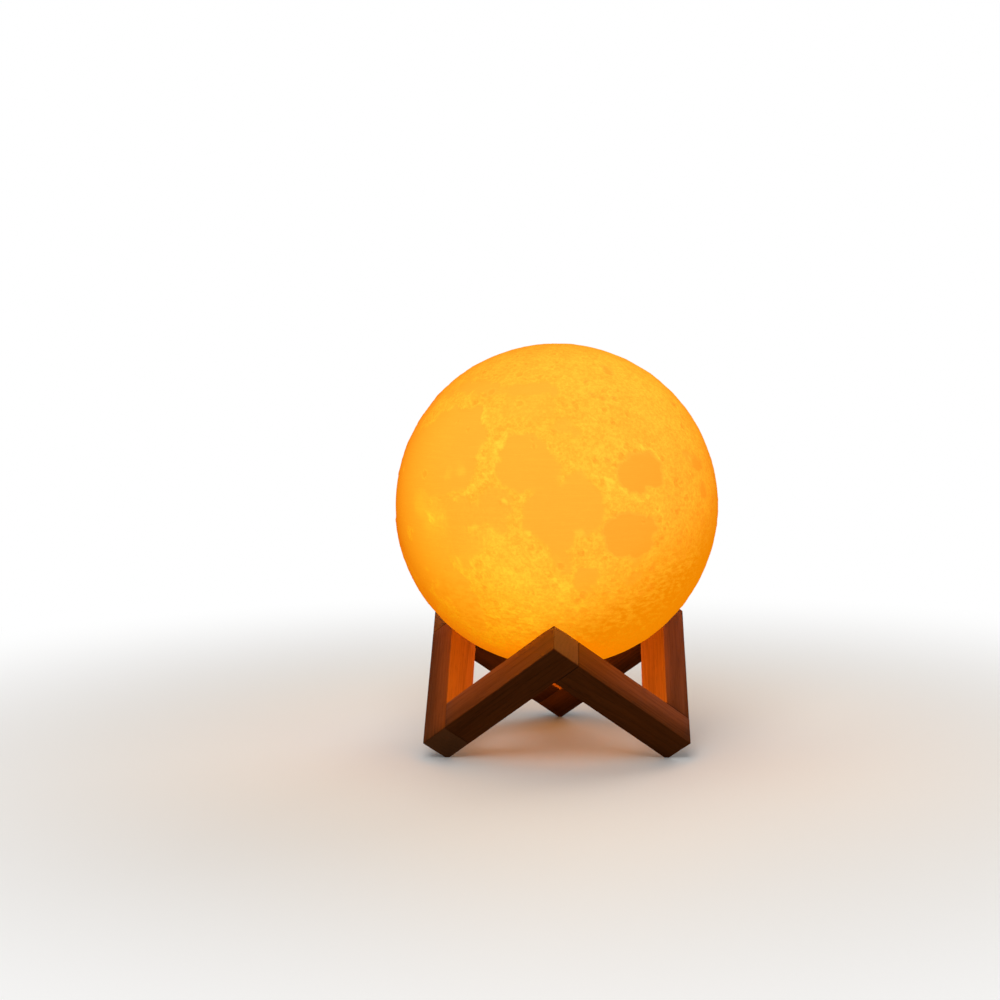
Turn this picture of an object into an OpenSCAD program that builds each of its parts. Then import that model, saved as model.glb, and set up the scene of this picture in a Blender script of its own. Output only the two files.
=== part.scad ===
// Moon lamp: a lit, cratered globe that rests loose in a stand of six crossed wooden bars.
// Millimetres, +Z up. The origin is on the table, under the middle of the globe.
// The front peak of the stand points to -Y, which is the side seen first.

/* [Globe] */
// Outer diameter of the globe
globe_d = 150; // [135:1:165]
// Wall of the printed globe, at the highlands
globe_wall = 2.2; // [1.8:0.1:3]
// How far the dark plains lie below the highlands
sea_depth = 0.4; // [0.3:0.1:0.8]
// How far the rims of the great craters stand above the highlands
rim_h = 0.25; // [0.1:0.05:0.4]
// Slope of crater walls and shores, in degrees
wall_slope = 25; // [18:1:32]
// Number of small craters scattered over the globe
small_craters = 46; // [0:1:80]
// Turn of the map about the upright axis, in degrees
map_turn = -25.8; // [-180:0.1:180]
// Lean of the map's north pole towards the front, in degrees
map_lean = 7; // [-15:0.1:15]
// Roll of the map's north pole, in degrees; to the left when negative
map_roll = -7.9; // [-15:0.1:15]
// Diameter of the opening at the bottom
mouth_d = 44; // [43:0.5:48]

/* [Stand] */
// Width and height of each square bar
bar_w = 15; // [12:0.5:17]
// Length of each bar
bar_l = 70.5; // [66:0.5:76]
// Rounding of the long edges of a bar
bar_ease = 0.4; // [0.2:0.1:1.5]
// Height of the corner that is sanded flat under each foot
foot_cut = 1; // [0.5:0.1:2]
// Diameter of the dowels
dowel_d = 5; // [4:0.5:6]
// Length of a dowel in the end of a bar
dowel_in_end = 11; // [8:0.5:14]
// Length of a dowel in the side of the next bar
dowel_in_side = 9; // [6:0.5:9.5]
// Depth of the hollow that seats the globe, at the tip of each peak
seat_depth = 0.9; // [0.3:0.1:1.5]
// Gap between the hollows and the rims of the resting globe
seat_gap = 0.05; // [0.05:0.05:0.5]

/* [Base cap] */
// Thickness of the cap that closes the opening
cap_t = 2.4; // [2:0.1:3]
// Inner diameter of the touch ring
ring_in_d = 20; // [18:0.5:21]
// Width of the touch ring
ring_w = 3; // [2:0.5:3.5]
// Thickness of the touch ring
ring_t = 1.5; // [1.2:0.1:2]
// Depth of the groove that holds the touch ring
groove_depth = 1.1; // [0.8:0.1:1.2]
// Outer diameter of the charging socket's body
socket_d = 8; // [7:0.1:8.5]
// Bore of the charging socket
socket_bore = 3.6; // [3.5:0.05:4]
// Depth of the charging socket
socket_depth = 5.2; // [4:0.1:5.3]
// Diameter of the socket's middle pin
socket_pin_d = 1.2; // [1:0.05:1.3]
// Diameter of the charging light's window
window_d = 2; // [1.5:0.1:2.4]
// Distance of the charging light from the middle
window_r = 6.8; // [6.5:0.1:7]

/* [Neck and collar] */
// Wall of the neck that is printed round the opening, inside the globe
neck_wall = 2.2; // [1.6:0.1:3]
// Height of the neck above the cap's outer face
neck_h = 9; // [7:0.5:12]
// Width of the collar's ledge
ledge_w = 6.5; // [6:0.1:7]
// Thickness of the collar's ledge
ledge_t = 2.5; // [2:0.1:3]
// Wall of the collar's skirt, which is glued into the neck
skirt_wall = 1.4; // [1:0.1:2]
// Height of the bosses for the cap's screws, above the ledge
cap_boss_h = 4.5; // [4:0.1:5]
// Height of the bosses that carry the post, above the ledge
post_boss_h = 7.5; // [6.5:0.5:10]
// Diameter of a boss
boss_d = 5.4; // [5:0.1:6]

/* [Lamp post] */
// Outer diameter of the tube
post_d = 22; // [21.5:0.5:24]
// Wall of the tube
post_wall = 2.3; // [2.1:0.1:2.5]
// Thickness of the post's foot
foot_t = 2; // [1.5:0.1:3]
// Height of the ribs between the tube and the foot
rib_h = 9; // [5:1:15]
// Thickness of the ribs
rib_t = 1.6; // [1:0.1:2.4]
// Diameter of the lamp board on top
led_board_d = 24; // [23:0.5:27]
// Thickness of the lamp board
led_board_t = 1.6; // [1:0.1:2]
// Number of lamp chips of each colour
chips_each = 4; // [2:1:4]

/* [Battery] */
// Diameter of the cell
cell_d = 14; // [12:0.5:14]
// Length of the cell
cell_l = 50; // [40:1:52]
// Wall of the cell's sleeve
sleeve_t = 0.3; // [0.2:0.05:0.4]
// Thickness of each foam pad
pad_t = 1.5; // [1.3:0.1:3]

/* [Control board] */
// Diameter of the control board
board_d = 27; // [26.5:0.5:28]
// Thickness of the control board
board_t = 1.2; // [0.8:0.1:1.6]
// Height of the standoffs that carry the control board
standoff_h = 4; // [3.6:0.1:4.4]

/* [Hidden] */
$fn = 96;

// Fits: every clearance is on a radius or on one face
glue_gap = 0.1;
slip_gap = 0.2;
close_gap = 0.05;
cut_extra = 1;

// Globe
globe_r = globe_d / 2;
high_r = globe_r - rim_h;
sea_r = high_r - sea_depth;
inner_r = high_r - globe_wall;
mouth_r = mouth_d / 2;
globe_fn = 160;
crater_fn = 48;
wide_crater = 4;
rim_spread = 1.3;
least_ball_angle = 4;
mouth_angle = asin((mouth_r + neck_wall) / high_r);
mouth_margin = 2;

// The stand is the zigzag of edges round a cube that stands on one corner
cube_w = bar_l + bar_w;
upright_tilt = acos(1 / sqrt(3));
front_turn = -135;
foot_drop = bar_l / sqrt(3) + foot_cut;
table_slab = 200;
hole_extra = 0.5;

// Height of the globe's middle: it rests in hollows at the tips of the peaks, or in the faces of
// the bars when it is small. Both follow from the distance between the middle and a bar.
rest_r = globe_r + seat_gap;
tip_r = rest_r - seat_depth;
tip_sum = 2 * cube_w + bar_w;
tip_squares = 2 * pow(cube_w, 2) + pow(bar_w, 2) - pow(tip_r, 2);
on_tips = (tip_sum + sqrt(pow(tip_sum, 2) - 3 * tip_squares)) / 3;
along_diagonal = tip_r > bar_l ? on_tips : bar_w + tip_r;
globe_z = along_diagonal * sqrt(3) - foot_drop;

// Screws: diameter of the shank, diameter of the head, and length
cap_screw = [2.2, 4.2, 8];
board_screw = [1.6, 2.8, 4.5];
post_screw = [2.2, 4, 6.5];
led_screw = [1.2, 2.2, 5];
pilot_extra = 0.6;
recess_w = 0.5;
recess_depth = 0.5;
point_d = 0.3;

// Heights from the globe's middle. The cap's face is flush with the edge of the opening.
cap_z = -sqrt(pow(high_r, 2) - pow(mouth_r, 2));
ledge_z = cap_z + cap_t;
ledge_top = ledge_z + ledge_t;
neck_top = cap_z + neck_h;
board_z = ledge_z + standoff_h;
board_top = board_z + board_t;
foot_z = ledge_top + post_boss_h;
floor_z = foot_z + foot_t;
tab_t = 0.2;
cell_z = floor_z + pad_t + tab_t;
cell_top = cell_z + cell_l;
led_board_z = cell_top + tab_t + pad_t;
led_board_top = led_board_z + led_board_t;

// Radii and directions of what stands round the middle
collar_r = mouth_r - glue_gap;
cap_r = mouth_r - slip_gap;
boss_circle = mouth_r - boss_d / 2 - 0.7;
post_foot_r = boss_circle + boss_d / 2;
tube_in_r = post_d / 2 - post_wall;
cap_screw_angles = [0, 120, 240];
post_screw_angles = [60, 180, 300];
board_screw_angles = [30, 150, 270];
led_screw_angles = [15, 135, 255];
standoff_d = 4.4;
board_screw_r = ring_in_d / 2 + ring_w / 3;
led_screw_r = tube_in_r + post_wall / 2;
ring_r = (ring_in_d + ring_w) / 2;
ring_z = cap_z + groove_depth - ring_t;
ring_edge = 0.4;
touch_angle = 90;
window_angle = 210;
flange_t = 0.8;
flange_w = 0.5;

// Touch pin, socket pin and the charging light
touch_pin_d = 1;
touch_barrel = [1.6, 2];
pin_tip = 0.6;
light_size = [1.6, 0.8, 0.6];
light_gap = 0.2;

// Leads run down the space between the cell and the tube
lead_d = 1;
lead_hole_d = 1.4;
lead_turn_d = 0.9;
lead_start_r = 5.3;
lead_r = (cell_d / 2 + close_gap + sleeve_t + tube_in_r) / 2;
led_lead_angles = [80, 100, 120];
plus_angle = 200;
minus_angle = 320;
lead_proud = 0.4;
tab_w = 4;
tab_back = 2.5;
tab_end = 6.4;
foam_d = 10;
nub_d = 5.5;
nub_h = 0.9;
crimp_z = 3.2;
crimp_r = 0.5;
sleeve_short = 1;

// Lamp chips: length, width and height, and the circle that they stand on
chip_size = [3.5, 2.8, 0.8];
chip_circle = 5.9;
chip_ring_turn = 360 / (2 * chips_each);

// Parts on the control board: x, y, length, width, height
CHIPS = [[-3.2, 0.4, 5, 4, 1.5], [4, -3, 3, 1.6, 1.1]];
PASSIVES = [[2.4, 3, 4, 4, 2], [-3.4, -4.4, 3.4, 2.6, 1.9], [0.6, -5.6, 1.6, 0.8, 0.5],
    [2.6, -6, 1.6, 0.8, 0.5], [-2.6, 5.2, 1.6, 0.8, 0.5], [-5.2, 4.4, 1.6, 0.8, 0.5]];

// Dark plains of the moon: latitude, longitude and angular radius, in degrees
SEAS = [
    [33, -16, 18.5],   // rains
    [28, 17, 10.5],    // serenity
    [8, 31, 12.5],     // tranquillity
    [17, 59, 7.5],     // crises
    [-7, 51, 9],       // fertility, north
    [-15, 53, 5.5],    // fertility, south
    [-15, 35.5, 5.8],  // nectar
    [-20, -15, 10],    // clouds
    [-24, -38.5, 7],   // moisture
    [20, -50, 17],     // storms, middle
    [4, -44, 13],      // storms, south
    [42, -62, 10],     // storms, north
    [-9, -22, 7],      // the known sea
    [8, -30, 8],       // islands
    [13, 4, 5],        // vapours
    [58, -25, 6],      // cold, west
    [59, 0, 5.5],      // cold, middle
    [57, 22, 5],       // cold, east
    [57, 81, 4.5],     // edge of the near side, north-east
    [0, 86, 6],        // edge of the near side, east
    [-40, 92, 11],     // the south
    [-19, -94, 8],     // the east
    [27, 147, 5],      // far side, north
    [-34, 163, 5.5],   // far side, ingenuity
    [-42, -170, 12],   // far side, great southern basin
    [6, 141, 5]        // far side, middle
];

// Great craters with raised rims, in the same form
CRATERS = [
    [9.6, -20, 1.9],
    [-43, -11, 1.8],
    [51.6, -9.4, 2],
    [-58, -14, 4],
    [-9, -2, 2.7],
    [-32, -5, 3.8],
    [-9, 61, 2.4],
    [-25, 60, 3],
    [27, 56, 2.2],
    [54, 57, 2.3],
    [-45, 40, 3.2],
    [-11, 26, 1.8],
    [-18, 24, 1.9],
    [-41, 14, 2.2],
    [46, 44, 1.6],
    [50, 17, 1.5],
    [-5, -68, 3.6],
    [-44, -55, 3.4],
    [-20, 129, 3.2],
    [2, -129, 6],
    [-4, -157, 5],
    [-36, -152, 6],
    [36, 103, 3],
    [5, 105, 3.4],
    [24, 122, 2.6],
    [55, -150, 4],
    [-20, 178, 2.6],
    [45, 175, 4]
];

// Small craters: the golden angle spreads them, and the seeded draws move and size them
golden_angle = 137.508;
place_seed = 11;
size_seed = 23;
least_small = 0.9;
small_range = 1.3;
shift = 6;
moves = rands(-shift, shift, 2 * small_craters + 1, place_seed);
sizes = rands(0, 1, small_craters + 1, size_seed);

function small_lat(i) = 0.97 * asin(1 - (2 * i + 1) / small_craters) + moves[2 * i] / 2;
function small_lon(i) = (i * golden_angle + moves[2 * i + 1]) % 360;
function small_size(i) = least_small + small_range * pow(sizes[i], 2);

// Whether a feature of the map stays clear of the neck
function east(lat, lon) = cos(lat) * sin(lon + map_turn);
function north(lat, lon) = sin(lat) * cos(map_lean) - cos(lat) * cos(lon + map_turn) * sin(map_lean);
function up(lat, lon) = north(lat, lon) * cos(map_roll) - east(lat, lon) * sin(map_roll);
function is_clear(place) =
    acos(-up(place[0], place[1])) > mouth_angle + place[2] * rim_spread + mouth_margin;

// ---------- Helpers ----------

module in_globe() {
    translate([0, 0, globe_z]) children();
}

// A place on the map, with +Z pointing out of the globe
module at_place(lat, lon) {
    rotate([map_lean, map_roll, 0])
        rotate([0, 0, map_turn + lon])
            rotate([90 - lat, 0, 0])
                children();
}

// Ball that cuts a round dish out of the globe
module dish_ball(place) {
    spread = place[2];
    ball_angle = max(wall_slope - spread, least_ball_angle);
    ball_r = high_r * sin(spread) / sin(ball_angle);
    at_place(place[0], place[1])
        translate([0, 0, high_r * cos(spread) + ball_r * cos(ball_angle)])
            sphere(r = ball_r, $fn = spread > wide_crater ? globe_fn : crater_fn);
}

// Ball that stands proud of the globe as a low mound, so that a dish cut in it keeps a rim
module rim_ball(place) {
    spread = place[2] * rim_spread;
    base_r = high_r * sin(spread);
    crown = high_r * (1 - cos(spread)) + rim_h;
    ball_r = (pow(base_r, 2) + pow(crown, 2)) / (2 * crown);
    at_place(place[0], place[1])
        translate([0, 0, globe_r - ball_r])
            sphere(r = ball_r, $fn = globe_fn);
}

module on_circle(radius, angles) {
    for (angle = angles)
        rotate([0, 0, angle])
            translate([radius, 0, 0])
                children();
}

// Cylinder between two heights
module rod(d, low, high) {
    translate([0, 0, low]) cylinder(d = d, h = high - low);
}

// Hole between two heights, cut a little past both
module hole(d, low, high) {
    rod(d, low - cut_extra, high + cut_extra);
}

// Cross-headed screw with its head at z = 0 and its point along +Z
module screw(size, sunk) {
    head_h = (size[1] - size[0]) / 2;
    difference() {
        union() {
            cylinder(d1 = size[1], d2 = sunk ? size[0] : size[1], h = head_h);
            cylinder(d = size[0], h = size[2] - size[0]);
            translate([0, 0, size[2] - size[0]])
                cylinder(d1 = size[0], d2 = point_d, h = size[0]);
        }
        for (turn = [0, 90])
            rotate([0, 0, turn])
                translate([-size[1] / 3, -recess_w / 2, -cut_extra])
                    cube([size[1] * 2 / 3, recess_w, cut_extra + recess_depth]);
    }
}

// Box that lies on a board: x, y, length, width, height
module board_part(p) {
    translate([p[0] - p[2] / 2, p[1] - p[3] / 2, 0]) cube([p[2], p[3], p[4]]);
}

// ---------- Globe ----------

module relief_ball() {
    difference() {
        union() {
            difference() {
                sphere(r = high_r, $fn = globe_fn);
                for (place = SEAS) if (is_clear(place)) dish_ball(place);
            }
            sphere(r = sea_r, $fn = globe_fn);
            for (place = CRATERS) if (is_clear(place)) rim_ball(place);
        }
        for (place = CRATERS) if (is_clear(place)) dish_ball(place);
        if (small_craters > 0)
            for (i = [0 : small_craters - 1])
                if (is_clear([small_lat(i), small_lon(i), small_size(i)]))
                    dish_ball([small_lat(i), small_lon(i), small_size(i)]);
    }
}

// Hollow printed globe, with a neck inside its opening for the collar
module moon_shell() {
    color([1, 0.72, 0.24])
        in_globe()
            difference() {
                relief_ball();
                difference() {
                    sphere(r = inner_r, $fn = globe_fn);
                    rod(2 * (mouth_r + neck_wall), -globe_r, neck_top);
                }
                rod(2 * mouth_r, -globe_r - cut_extra, neck_top + cut_extra);
            }
}

// ---------- Base ----------

// Ring glued into the neck: a ledge for the cap, a skirt, and two sets of three screw bosses
module mounting_collar() {
    color([0.93, 0.92, 0.88])
        in_globe()
            difference() {
                union() {
                    rod(2 * collar_r, ledge_z, ledge_top);
                    difference() {
                        rod(2 * collar_r, ledge_z, neck_top);
                        hole(2 * (collar_r - skirt_wall), ledge_z, neck_top);
                    }
                    on_circle(boss_circle, cap_screw_angles)
                        rod(boss_d, ledge_z, ledge_top + cap_boss_h);
                    on_circle(boss_circle, post_screw_angles)
                        rod(boss_d, ledge_z, foot_z);
                }
                hole(2 * (mouth_r - ledge_w), ledge_z, ledge_top);
                on_circle(boss_circle, cap_screw_angles)
                    rod(cap_screw[0] + 2 * close_gap, ledge_z - cut_extra,
                        cap_z + cap_screw[2] + pilot_extra);
                on_circle(boss_circle, post_screw_angles)
                    rod(post_screw[0] + 2 * close_gap,
                        floor_z - post_screw[2] + (post_screw[1] - post_screw[0]) / 2 - pilot_extra,
                        foot_z + cut_extra);
            }
}

module base_cap() {
    sink_gap = 2 * close_gap;
    color([0.93, 0.92, 0.88])
        in_globe()
            difference() {
                union() {
                    rod(2 * cap_r, cap_z, ledge_z);
                    on_circle(board_screw_r, board_screw_angles)
                        rod(standoff_d, cap_z + groove_depth, board_z);
                }
                hole(socket_d + 2 * slip_gap, cap_z, board_z);
                difference() {
                    rod(ring_in_d + 2 * ring_w + sink_gap, cap_z - cut_extra, cap_z + groove_depth);
                    hole(ring_in_d - sink_gap, cap_z - cut_extra, cap_z + groove_depth);
                }
                on_circle(boss_circle, cap_screw_angles) {
                    hole(cap_screw[0] + sink_gap, cap_z, ledge_z);
                    translate([0, 0, cap_z])
                        cylinder(d1 = cap_screw[1] + sink_gap, d2 = cap_screw[0] + sink_gap,
                            h = (cap_screw[1] - cap_screw[0]) / 2);
                }
                on_circle(board_screw_r, board_screw_angles)
                    rod(board_screw[0] + sink_gap, board_top - board_screw[2] - pilot_extra,
                        board_z + cut_extra);
                on_circle(ring_r, [touch_angle]) hole(touch_pin_d + sink_gap, cap_z, ledge_z);
                on_circle(window_r, [window_angle]) hole(window_d + sink_gap, cap_z, ledge_z);
            }
}

module cap_screws() {
    color([0.78, 0.78, 0.8])
        in_globe()
            on_circle(boss_circle, cap_screw_angles)
                translate([0, 0, cap_z]) screw(cap_screw, true);
}

// Metal ring that is touched to switch the lamp, with rounded lower edges
module touch_ring() {
    color([0.85, 0.85, 0.87])
        in_globe()
            translate([0, 0, ring_z])
                rotate_extrude()
                    translate([ring_in_d / 2, 0]) {
                        translate([0, ring_edge]) square([ring_w, ring_t - ring_edge]);
                        translate([ring_edge, 0]) square([ring_w - 2 * ring_edge, ring_t]);
                        for (x = [ring_edge, ring_w - ring_edge])
                            translate([x, ring_edge]) circle(r = ring_edge);
                    }
}

// Sprung pin between the touch ring and the control board
module touch_pin() {
    color([0.85, 0.68, 0.35])
        in_globe()
            on_circle(ring_r, [touch_angle]) {
                rod(touch_pin_d, cap_z + groove_depth, board_z);
                rod(touch_barrel[0], board_z - touch_barrel[1], board_z);
            }
}

module socket_body() {
    color([0.1, 0.1, 0.11])
        in_globe()
            difference() {
                rod(socket_d, cap_z, board_z);
                rod(socket_bore, cap_z - cut_extra, cap_z + socket_depth);
                hole(socket_pin_d + 2 * close_gap, cap_z, board_z);
            }
}

module socket_pin() {
    color([0.85, 0.68, 0.35])
        in_globe()
            rod(socket_pin_d, cap_z + pin_tip, board_z);
}

// Clear rod that shows the charging light, with a flange behind the cap
module light_pipe() {
    color([0.9, 0.93, 0.95])
        in_globe()
            on_circle(window_r, [window_angle]) {
                rod(window_d, cap_z, board_z - light_size[2] - light_gap);
                rod(window_d + 2 * flange_w, ledge_z, ledge_z + flange_t);
            }
}

module indicator_led() {
    color([0.95, 0.3, 0.2])
        in_globe()
            on_circle(window_r, [window_angle])
                translate([-light_size[0] / 2, -light_size[1] / 2, board_z - light_size[2]])
                    cube(light_size);
}

// ---------- Control board ----------

module control_board() {
    color([0.1, 0.4, 0.22])
        in_globe()
            difference() {
                rod(board_d, board_z, board_top);
                on_circle(board_screw_r, board_screw_angles)
                    hole(board_screw[0] + 2 * close_gap, board_z, board_top);
            }
}

module control_chips() {
    color([0.12, 0.12, 0.13])
        in_globe()
            translate([0, 0, board_top])
                for (p = CHIPS) board_part(p);
}

module board_passives() {
    color([0.5, 0.4, 0.3])
        in_globe()
            translate([0, 0, board_top])
                for (p = PASSIVES) board_part(p);
}

module board_screws() {
    head_h = (board_screw[1] - board_screw[0]) / 2;
    color([0.78, 0.78, 0.8])
        in_globe()
            on_circle(board_screw_r, board_screw_angles)
                translate([0, 0, board_top + head_h])
                    rotate([180, 0, 0]) screw(board_screw, false);
}

// ---------- Lamp post ----------

// Tube that holds the cell upright and carries the lamp board in the middle of the globe
module lamp_post() {
    rib_start = tube_in_r + post_wall / 2;
    rib_reach = post_foot_r - boss_d / 2;
    rib_low = foot_z + foot_t / 2;
    color([0.96, 0.96, 0.94])
        in_globe()
            difference() {
                union() {
                    rod(2 * post_foot_r, foot_z, floor_z);
                    rod(post_d, foot_z, led_board_z);
                    for (angle = cap_screw_angles)
                        rotate([90, 0, angle])
                            translate([0, 0, -rib_t / 2])
                                linear_extrude(rib_t)
                                    polygon([[rib_start, rib_low], [rib_reach, rib_low],
                                        [rib_reach, floor_z], [rib_start, floor_z + rib_h]]);
                }
                rod(2 * tube_in_r, floor_z, led_board_z + cut_extra);
                on_circle(boss_circle, post_screw_angles)
                    hole(post_screw[0] + 2 * close_gap, foot_z, floor_z);
                on_circle(led_screw_r, led_screw_angles)
                    rod(led_screw[0] + 2 * close_gap, led_board_top - led_screw[2] - pilot_extra,
                        led_board_z + cut_extra);
                on_circle(lead_r, concat(led_lead_angles, [plus_angle, minus_angle]))
                    hole(lead_hole_d, foot_z, floor_z);
            }
}

module post_screws() {
    head_h = (post_screw[1] - post_screw[0]) / 2;
    color([0.78, 0.78, 0.8])
        in_globe()
            on_circle(boss_circle, post_screw_angles)
                translate([0, 0, floor_z + head_h])
                    rotate([180, 0, 0]) screw(post_screw, false);
}

// ---------- Battery ----------

module battery_cell() {
    color([0.75, 0.76, 0.78])
        in_globe()
            difference() {
                union() {
                    rod(cell_d, cell_z, cell_top - nub_h);
                    rod(nub_d, cell_top - nub_h, cell_top);
                }
                translate([0, 0, cell_top - crimp_z])
                    rotate_extrude()
                        translate([cell_d / 2 + crimp_r / 2, 0]) circle(r = crimp_r);
            }
}

module battery_sleeve() {
    color([0.15, 0.35, 0.62])
        in_globe()
            difference() {
                rod(cell_d + 2 * (close_gap + sleeve_t), cell_z + sleeve_short,
                    cell_top - crimp_z - sleeve_short);
                hole(cell_d + 2 * close_gap, cell_z, cell_top);
            }
}

// Welded strips on both ends of the cell
module battery_tabs() {
    color([0.8, 0.8, 0.78])
        in_globe() {
            rotate([0, 0, plus_angle])
                translate([-tab_back, -tab_w / 2, cell_top]) cube([tab_back + tab_end, tab_w, tab_t]);
            rotate([0, 0, minus_angle])
                translate([-tab_back, -tab_w / 2, cell_z - tab_t])
                    cube([tab_back + tab_end, tab_w, tab_t]);
        }
}

module foam_pads() {
    color([0.25, 0.25, 0.27])
        in_globe() {
            rod(foam_d, floor_z, floor_z + pad_t);
            rod(foam_d, cell_top + tab_t, led_board_z);
        }
}

// Lead that leaves a tab sideways at a height and runs down to the control board
module battery_lead(angle, height) {
    rotate([0, 0, angle]) {
        translate([lead_start_r, 0, height])
            rotate([0, 90, 0]) cylinder(d = lead_turn_d, h = lead_r - lead_start_r);
        translate([lead_r, 0, 0]) rod(lead_d, board_top, height + lead_d / 2);
    }
}

module battery_leads() {
    color([0.75, 0.12, 0.1])
        in_globe() {
            battery_lead(plus_angle, cell_top + tab_t + lead_turn_d / 2);
            battery_lead(minus_angle, cell_z - tab_t - lead_turn_d / 2);
        }
}

// ---------- Lamp board ----------

module led_board() {
    color([0.86, 0.87, 0.88])
        in_globe()
            difference() {
                rod(led_board_d, led_board_z, led_board_top);
                on_circle(led_screw_r, led_screw_angles)
                    hole(led_screw[0] + 2 * close_gap, led_board_z, led_board_top);
                on_circle(lead_r, led_lead_angles) hole(lead_hole_d, led_board_z, led_board_top);
            }
}

// One colour of lamp chips, in every other place round the board
module lamp_chips(turn) {
    for (i = [0 : chips_each - 1])
        rotate([0, 0, turn + 2 * i * chip_ring_turn])
            translate([chip_circle - chip_size[1] / 2, -chip_size[0] / 2, led_board_top])
                cube([chip_size[1], chip_size[0], chip_size[2]]);
}

module warm_leds() {
    color([1, 0.8, 0.35]) in_globe() lamp_chips(0);
}

module cool_leds() {
    color([0.95, 0.95, 0.85]) in_globe() lamp_chips(chip_ring_turn);
}

module led_screws() {
    head_h = (led_screw[1] - led_screw[0]) / 2;
    color([0.78, 0.78, 0.8])
        in_globe()
            on_circle(led_screw_r, led_screw_angles)
                translate([0, 0, led_board_top + head_h])
                    rotate([180, 0, 0]) screw(led_screw, false);
}

module led_leads() {
    color([0.9, 0.9, 0.9])
        in_globe()
            on_circle(lead_r, led_lead_angles)
                rod(lead_d, board_top, led_board_top + lead_proud);
}

// ---------- Stand ----------

module in_stand() {
    translate([0, 0, -foot_drop])
        rotate([-upright_tilt, 0, 0])
            rotate([0, 0, front_turn])
                children();
}

module third_of_stand(which) {
    rotate([0, 0, which * 120]) children();
}

// One bar along +Z: the end that butts on the next bar is at z = 0, and the side of the far end,
// at x = 0, takes the dowel of the bar before
module bar_blank() {
    hole_d = dowel_d + 2 * close_gap;
    difference() {
        linear_extrude(bar_l) {
            translate([bar_ease, 0]) square([bar_w - 2 * bar_ease, bar_w]);
            translate([0, bar_ease]) square([bar_w, bar_w - 2 * bar_ease]);
            for (x = [bar_ease, bar_w - bar_ease], y = [bar_ease, bar_w - bar_ease])
                translate([x, y]) circle(r = bar_ease);
        }
        translate([bar_w / 2, bar_w / 2, -cut_extra])
            cylinder(d = hole_d, h = dowel_in_end + hole_extra + cut_extra);
        translate([-cut_extra, bar_w / 2, bar_l - bar_w / 2])
            rotate([0, 90, 0])
                cylinder(d = hole_d, h = dowel_in_side + hole_extra + cut_extra);
    }
}

module bar_dowel() {
    translate([bar_w / 2, bar_w / 2, -dowel_in_side])
        cylinder(d = dowel_d, h = dowel_in_side + dowel_in_end);
}

// Three bars butt on a foot and end in a peak
module to_peak_place(which) {
    third_of_stand(which)
        in_stand()
            translate([bar_l, bar_w, bar_w])
                rotate([-90, 0, 0])
                    children();
}

// Three bars butt on a peak and end in a foot
module to_foot_place(which) {
    third_of_stand(which)
        in_stand()
            translate([cube_w, bar_w, bar_l])
                rotate([180, 0, -90])
                    children();
}

// Takes the globe's seat out of a bar
module seated() {
    difference() {
        children();
        in_globe() sphere(r = rest_r, $fn = globe_fn);
    }
}

module to_peak_bar(which) {
    color([0.72, 0.5, 0.3]) seated() to_peak_place(which) bar_blank();
}

// The corner of its end is sanded flat where it stands on the table
module to_foot_bar(which) {
    color([0.7, 0.48, 0.29])
        difference() {
            seated() to_foot_place(which) bar_blank();
            translate([-table_slab / 2, -table_slab / 2, -bar_w])
                cube([table_slab, table_slab, bar_w]);
        }
}

module front_left_bar() { to_peak_bar(0); }

module right_bar() { to_peak_bar(1); }

module back_left_bar() { to_peak_bar(2); }

module left_bar() { to_foot_bar(0); }

module front_right_bar() { to_foot_bar(1); }

module back_right_bar() { to_foot_bar(2); }

module glued_dowels() {
    color([0.8, 0.62, 0.42]) for (which = [0 : 2]) to_foot_place(which) bar_dowel();
}

module push_dowels() {
    color([0.8, 0.62, 0.42]) for (which = [0 : 2]) to_peak_place(which) bar_dowel();
}

// ---------- Nodes ----------

moon_shell();
mounting_collar();
base_cap();
cap_screws();
touch_ring();
touch_pin();
socket_body();
socket_pin();
light_pipe();
indicator_led();
control_board();
control_chips();
board_passives();
board_screws();
lamp_post();
post_screws();
battery_cell();
battery_sleeve();
battery_tabs();
foam_pads();
battery_leads();
led_board();
warm_leds();
cool_leds();
led_screws();
led_leads();
front_left_bar();
front_right_bar();
left_bar();
right_bar();
back_left_bar();
back_right_bar();
glued_dowels();
push_dowels();
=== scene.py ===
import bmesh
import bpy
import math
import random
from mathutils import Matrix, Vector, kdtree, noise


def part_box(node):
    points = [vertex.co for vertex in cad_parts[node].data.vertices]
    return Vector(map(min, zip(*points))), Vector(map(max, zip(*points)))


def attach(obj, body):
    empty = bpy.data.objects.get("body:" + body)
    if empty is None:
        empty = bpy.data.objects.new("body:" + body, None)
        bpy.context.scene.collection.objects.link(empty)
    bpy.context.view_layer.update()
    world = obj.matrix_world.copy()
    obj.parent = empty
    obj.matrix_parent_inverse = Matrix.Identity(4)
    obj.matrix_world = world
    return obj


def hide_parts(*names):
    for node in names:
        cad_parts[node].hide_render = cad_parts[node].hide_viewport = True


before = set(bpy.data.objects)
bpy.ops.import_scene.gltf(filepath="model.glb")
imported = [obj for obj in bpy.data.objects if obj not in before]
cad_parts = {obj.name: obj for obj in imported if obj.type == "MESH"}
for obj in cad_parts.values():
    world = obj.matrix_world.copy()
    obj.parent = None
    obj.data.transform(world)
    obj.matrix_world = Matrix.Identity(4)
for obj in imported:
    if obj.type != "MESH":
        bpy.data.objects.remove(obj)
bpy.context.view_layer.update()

# %% [markdown]
# # A moon lamp, built in Blender
# The lamp is a printed globe with the moon's relief, lit from inside, that rests in a stand of six
# square wooden bars. The construction comes in as a fixed frame, in metres, and this script adds
# the looks: modelled meshes for what shows most, and a finish for every piece.

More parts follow.
